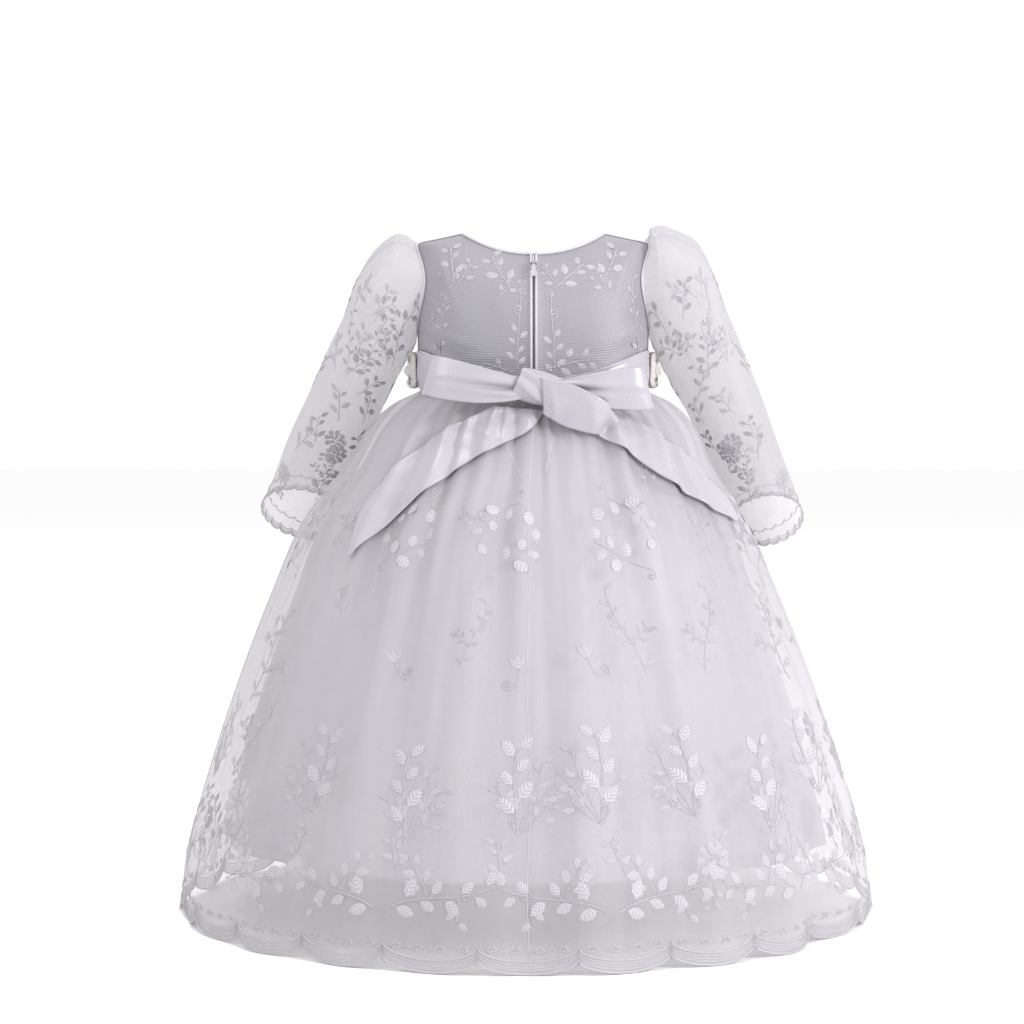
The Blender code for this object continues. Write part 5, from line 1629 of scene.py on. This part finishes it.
@dataclass
class Sleeve:
    """One sheer sleeve with its scalloped lace cuff."""

    side: str
    rows: tuple
    hand: int
    columns: int = 180
    lines: int = 110
    cuff_scallops: int = 22
    cuff_columns: int = 8
    cuff_rows: int = 12
    scallop_depth: float = 0.0025
    seam: float = -9.0
    cuff: float = -10.0

    def build(self, room: Cloakroom, trees: dict) -> None:
        """Make the sleeve, the cuff and their embroidery."""
        arm = Arm(self.rows, self.hand)
        angles = np.arange(self.columns) * 360.0 / self.columns
        places = np.linspace(1.0, self.seam, self.lines)[:, None]
        grid = arm.point(angles[None, :], places)
        node = f"sleeve_{self.side}"
        room.sheet(f"{node}_tulle", grid, "sleeve_tulle", node, closed=True)
        count = self.cuff_scallops * self.cuff_columns
        angles = np.arange(count) * 360.0 / count
        notch = scallop(np.arange(count) / self.cuff_columns)
        rise = notch * self.scallop_depth / 0.026
        share = np.linspace(0.0, 1.0, self.cuff_rows)[:, None]
        grid = arm.point(angles[None, :], self.seam + (self.cuff - self.seam + rise[None, :]) * share)
        cuff = f"cuff_lace_{self.side}"
        room.sheet(f"{cuff}_tulle", grid, "sleeve_tulle", cuff, closed=True)
        work = Embroidery(f"sleeve_{self.side}_lace")
        loop, turn = np.append(angles, 360.0), np.append(rise, rise[0])
        for back, girth in ((0.02, 0.0008), (0.10, 0.0005), (0.19, 0.0005), (0.62, 0.0005)):
            work.line(arm.point(loop, self.cuff + turn + back, 0.0002), girth)
        small, climb, blossom = sprig(), vine(), rose()
        limit = (self.cuff + 0.75, -0.1)
        for drawing, across, place, spin, size, flip in (
            (small, 90.0, -2.2, 30.0, 1.0, False),
            (small, 60.0, -3.4, -20.0, 1.1, True),
            (small, 125.0, -3.7, 40.0, 1.0, False),
            (small, 85.0, -4.6, 0.0, 1.1, False),
            (small, 50.0, -5.6, 25.0, 1.1, True),
            (small, 120.0, -5.8, -30.0, 1.0, False),
            (small, 90.0, -6.6, 10.0, 1.1, True),
            (small, 140.0, -7.4, 30.0, 1.0, False),
            (small, 60.0, -7.6, -25.0, 1.2, True),
            (small, 105.0, -8.3, 0.0, 1.1, False),
            (small, 250.0, -2.6, 0.0, 1.1, False),
            (small, 290.0, -4.2, 30.0, 1.1, True),
            (small, 240.0, -5.0, -30.0, 1.1, False),
            (small, 280.0, -6.4, 20.0, 1.2, True),
            (small, 230.0, -7.2, 0.0, 1.1, False),
            (small, 300.0, -8.0, -20.0, 1.1, True),
            (small, 200.0, -4.0, 20.0, 1.0, False),
            (small, 20.0, -4.4, -10.0, 1.1, True),
            (small, 350.0, -6.6, 20.0, 1.1, False),
            (small, 190.0, -6.2, 0.0, 1.0, True),
            (climb, 75.0, -5.0, 6.0, 0.62, False),
            (climb, 265.0, -5.6, 6.0, 0.66, True),
            (climb, 100.0, -7.9, 6.0, 0.5, True),
            (blossom, 112.0, -7.6, 0.0, 0.62, False),
            (blossom, 262.0, -8.1, 0.0, 0.66, False),
            (blossom, 40.0, -8.5, 0.0, 0.6, False),
        ):
            work.place(drawing, arm, (-self.hand * across, place), spin, size, flip, limit)
        work.make(room, trees, Slot.TULLE, 4)


@dataclass
class Sash:
    """The satin band, the bow and its tails, and the lace flowers across the front of the waist."""

    top: float = -0.098
    foot: float = -0.1300
    dip: float = 0.023
    dip_reach: float = 75.0
    end: float = 3.0
    lip_rise: float = 0.0013
    ribbon: float = 0.0007
    knot_centre: tuple = (0.004, -0.0875, -0.1285)
    trim_scallops: int = 18
    trim_start: float = 84.0
    trim_cloth: float = 0.0008

    # angle round the knot, lean with its length, reach in degrees, rise
    knot_creases = (
        (62.0, 30.0, 12.0, 0.12),
        (92.0, 34.0, 10.0, -0.10),
        (124.0, 40.0, 12.0, 0.12),
        (30.0, 10.0, 9.0, -0.06),
    )

    # petals at each end of the flower lace: x outwards, y, z, size
    end_petals = (
        (0.1010, -0.004, -0.1045, 0.0125),
        (0.1030, -0.006, -0.1150, 0.0135),
        (0.1015, -0.004, -0.1250, 0.0120),
    )

    def build(self, room: Cloakroom, trees: dict) -> None:
        """Make every piece of the sash."""
        self.band(room)
        self.loops(room)
        self.knot(room)
        self.tails(room, trees)
        self.flowers(room, trees)

    def band(self, room: Cloakroom) -> None:
        """Make the band round the waist, creased towards the knot."""
        azimuths = np.linspace(self.end, 360.0 - self.end, 321)[None, :]
        share = np.linspace(0.0, 1.0, 25)[:, None]
        away = np.abs(turn_between(azimuths, 0.0))
        top = self.top - self.dip * (1.0 - ease(away / self.dip_reach))
        height = top + (self.foot - top) * share
        out = 0.0019 + 0.0006 * np.sin(np.pi * share) + self.lip_rise * np.exp(-((away / 6.0) ** 2))
        near = np.exp(-((away / 45.0) ** 2))
        out = out + near * 0.0007 * np.sin(share * 15.0 + away * 0.05)
        out = out + 0.0003 * np.sin(share * 7.0 + away * 0.11)
        grid = Torso().round(azimuths, height, out)
        room.sheet(
            "sash_band_ribbon", grid, "ribbon_satin", "sash_band", self.ribbon
        )

    def loops(self, room: Cloakroom) -> None:
        """Make the two loops of the bow."""
        for side, rows, hand in (("left", LOOP_LEFT, -1), ("right", LOOP_RIGHT, 1)):
            form = Loop(rows, hand)
            along = np.linspace(0.0, len(rows) - 1.0, 121)[None, :]
            grid = form.point(along, np.linspace(1.0, -1.0, 33)[:, None])
            grid = grid if hand > 0 else grid[:, ::-1]
            node = f"bow_loop_{side}"
            room.sheet(
                f"{node}_ribbon", grid, "ribbon_satin", node, self.ribbon
            )

    def knot(self, room: Cloakroom) -> None:
        """Make the knot, pinched at its ends and folded across."""
        share = np.linspace(-1.0, 1.0, 41)[:, None]
        angle = np.linspace(0.0, math.tau, 97)[None, :-1]
        swell = 1.0 - 0.16 * (share + 0.15) ** 2
        folds = np.zeros(np.broadcast(share, angle).shape)
        for turn, lean, reach, rise in self.knot_creases:
            away = turn_between(np.degrees(angle) - lean * share, turn)
            folds = folds + rise * np.exp(-((away / reach) ** 2))
        x = share * 0.0180 + 0.0050 * np.cos(angle)
        y = -np.sin(angle) * 0.0102 * swell * (1.0 + folds)
        z = np.cos(angle) * 0.0125 * swell * (1.0 + folds) - share * 0.0050
        grid = np.stack(np.broadcast_arrays(x, y, z), axis=-1) + np.array(self.knot_centre)
        room.sheet(
            "bow_knot_ribbon", grid, "ribbon_satin", "bow_knot",
            self.ribbon, closed=True,
        )

    def tails(self, room: Cloakroom, trees: dict) -> None:
        """Make the two tails and the fine hems along their edges."""
        hems = Embroidery("sash_hems", "lace_thread")
        for side, rows, start, hand in (("left", TAIL_LEFT, (), -1), ("right", TAIL_RIGHT, TAIL_START, 1)):
            form = Tail(rows, start)
            last = len(rows) - 1.0
            along = np.linspace(last, 0.0, 111)[:, None]
            grid = form.point(np.linspace(0.0, 1.0, 25)[None, :], along)
            grid = grid if hand > 0 else grid[:, ::-1]
            node = f"sash_tail_{side}"
            room.sheet(
                f"{node}_ribbon", grid, "ribbon_satin", node, self.ribbon
            )
            for across in (0.035, 0.965):
                hems.line(form.point(np.full(111, across), along[:, 0], 0.0001), 0.00028)
        hems.make(room, trees, Slot.SATIN)

    def flowers(self, room: Cloakroom, trees: dict) -> None:
        """Make the scalloped lace with its row of flowers."""
        steps = self.trim_scallops * 12
        place = np.arange(steps + 1) / 12.0
        share = np.linspace(0.0, 1.0, 19)[:, None]
        edge = scallop(place)[None, :] * 0.004
        height = self.top - 0.001 - edge + (self.foot + 0.001 - self.top + 2.0 * edge) * share
        bump = np.abs(np.sin(np.pi * place))[None, :] * np.sin(np.pi * (0.15 + 0.7 * share)) * 0.0052
        azimuths = self.trim_start + (360.0 - 2.0 * self.trim_start) * np.arange(steps + 1)[None, :] / steps
        grid = Torso().round(azimuths, height, 0.0036 + bump)
        room.sheet(
            "waist_flower_lace", grid, "guipure_net", "waist_flower_trim",
            self.trim_cloth,
        )
        work = Embroidery("waist_flowers", "guipure_thread")
        flower = Motif()
        for turn in range(6):
            angle = turn * math.pi / 3
            flower.leaf((1.1 * math.cos(angle), 1.1 * math.sin(angle)), 60.0 * turn, 5.6, 4.4, True)
        flower.leaf((-1.5, 0.0), 0.0, 3.0, 3.0, True)
        band = Waistband(lift=0.0094)
        pitch = (360.0 - 2.0 * self.trim_start) / self.trim_scallops
        for number in range(self.trim_scallops):
            azimuth = self.trim_start + pitch * (number + 0.5)
            for height in (-0.1060, -0.1225):
                work.place(flower, band, (azimuth, height), 30.0 * (number % 2), 1.0, False)
        for hand in (-1.0, 1.0):
            for x, y, z, size in self.end_petals:
                for lift, share in ((0.0, 1.0), (-0.0012, 0.6)):
                    place = np.array([hand * x, y + lift, z])
                    work.petal(place, (size * share, size * share * 0.86, 0.0012))
        for row in (1, 17):
            work.line(grid[row] + (grid[row] - grid[row].mean(axis=0)) * 0.004, 0.0009)
        work.make(room, trees, Slot.GUIPURE)


@dataclass
class Zip:
    """The centre back zip: the teeth behind the lips, and the solids that stay."""

    pitch: float = 0.0018
    top: float = -0.0245
    foot: float = -0.1180
    depth: float = 0.0012
    tooth: tuple = (0.0016, 0.0011, 0.0003)
    stitch_pitch: float = 0.0026
    stitch: float = 0.0016
    stitch_row: float = 0.0060
    thread: float = 0.00022

    def build(self, frame: dict, room: Cloakroom, trees: dict) -> None:
        """Dress the tape, slider and tab, and make the teeth."""
        room.dress_node(frame, "zip_tape", "tape_cloth")
        room.dress_node(frame, "zip_slider", "zip_metal")
        room.dress_node(frame, "zip_pull_tab", "zip_metal")
        teeth = Embroidery("zip_teeth", "lace_thread")
        torso = Torso()
        count = int((self.top - self.foot) / self.pitch)
        heights = self.top - self.pitch * np.arange(count)
        for point in torso.point(np.zeros(count), heights, -self.depth):
            teeth.petal(point, self.tooth)
        teeth.make(room, trees, Slot.TAPE)
        stitches = Embroidery("zip_stitches", "lace_thread")
        for hand in (-1.0, 1.0):
            for height in np.arange(self.top, self.foot, -self.stitch_pitch):
                ends = np.array([height, height - self.stitch])
                stitches.line(torso.point(np.full(2, hand * self.stitch_row), ends, 0.0001), self.thread)
        stitches.make(room, trees, Slot.BODICE, 4)


class Studio:
    """The floor, the light and the camera."""

    floor: float = -0.5716
    lens: float = 99.4
    camera_at: tuple[float, float, float] = (-0.0179, -2.4, -0.10)
    aim: tuple[float, float, float] = (-0.0179, 0.0, -0.235)
    sensor: float = 36.0
    lit: tuple[float, float, float] = (0.0, 0.0, -0.3)
    reach: float = 9.0
    floor_colour: tuple[float, float, float, float] = (0.97, 0.96, 0.965, 1.0)

    def camera(self) -> None:
        """Set the camera at the photograph's angle."""
        data = bpy.data.cameras.new("camera")
        data.lens = self.lens
        data.sensor_width = self.sensor
        camera = placed("camera", data)
        camera.location = self.camera_at
        towards = Vector(self.aim) - Vector(self.camera_at)
        camera.rotation_euler = towards.to_track_quat("-Z", "Y").to_euler()
        bpy.context.scene.camera = camera

    def light(self) -> None:
        """Set the soft lights and the white surround."""
        world = bpy.data.worlds.new("surround")
        world.use_nodes = True
        surround = world.node_tree.nodes["Background"].inputs
        surround["Color"].default_value = (1.0, 1.0, 1.0, 1.0)
        surround["Strength"].default_value = 1.0
        bpy.context.scene.world = world
        bpy.context.scene.view_settings.view_transform = "Standard"
        lights = (
            ("key", (2.1, -1.3, 0.7), 0.6, 46.0),
            ("fill", (-1.7, -1.9, 0.8), 0.9, 12.0),
            ("crown", (-0.3, -0.3, 2.3), 1.0, 20.0),
        )
        for name, at, size, power in lights:
            data = bpy.data.lights.new(name, "AREA")
            data.shape = "SQUARE"
            data.size = size
            data.energy = power
            lamp = placed(name, data)
            lamp.location = at
            towards = Vector(self.lit) - Vector(at)
            lamp.rotation_euler = towards.to_track_quat("-Z", "Y").to_euler()

    def backdrop(self) -> None:
        """Make the pale floor."""
        mesh = bpy.data.meshes.new("floor")
        corners = ((-1.0, -1.0), (1.0, -1.0), (1.0, 1.0), (-1.0, 1.0))
        places = [(x * self.reach, y * self.reach, self.floor) for x, y in corners]
        mesh.from_pydata(places, [], [(0, 1, 2, 3)])
        made = bpy.data.materials.new("pale_floor")
        made.use_nodes = True
        shader = made.node_tree.nodes["Principled BSDF"]
        shader.inputs["Base Color"].default_value = self.floor_colour
        shader.inputs["Roughness"].default_value = 0.9
        shader.inputs["Specular IOR Level"].default_value = 0.1
        mesh.materials.append(made)
        placed("floor", mesh)

    def build(self) -> None:
        """Set up the whole studio."""
        self.camera()
        self.light()
        self.backdrop()


def plain(box: tuple) -> list:
    """Give a box's two corners as plain lists of numbers."""
    return [[float(value) for value in corner] for corner in box]


def main() -> None:
    """Build the gown's pieces in order, around the frame."""
    logging.basicConfig(level=logging.INFO, format="%(name)s %(message)s")
    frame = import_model()
    Studio().build()
    room = Cloakroom()
    trees = {"threads": thread_tree(), "leaves": leaf_tree()}
    Bodice().build(room, trees)
    Skirt().build(room, trees)
    Sleeve("left", SLEEVE_LEFT, -1).build(room, trees)
    Sleeve("right", SLEEVE_RIGHT, 1).build(room, trees)
    Sash().build(room, trees)
    Zip().build(frame, room, trees)
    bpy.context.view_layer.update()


if __name__ == "__main__":
    main()
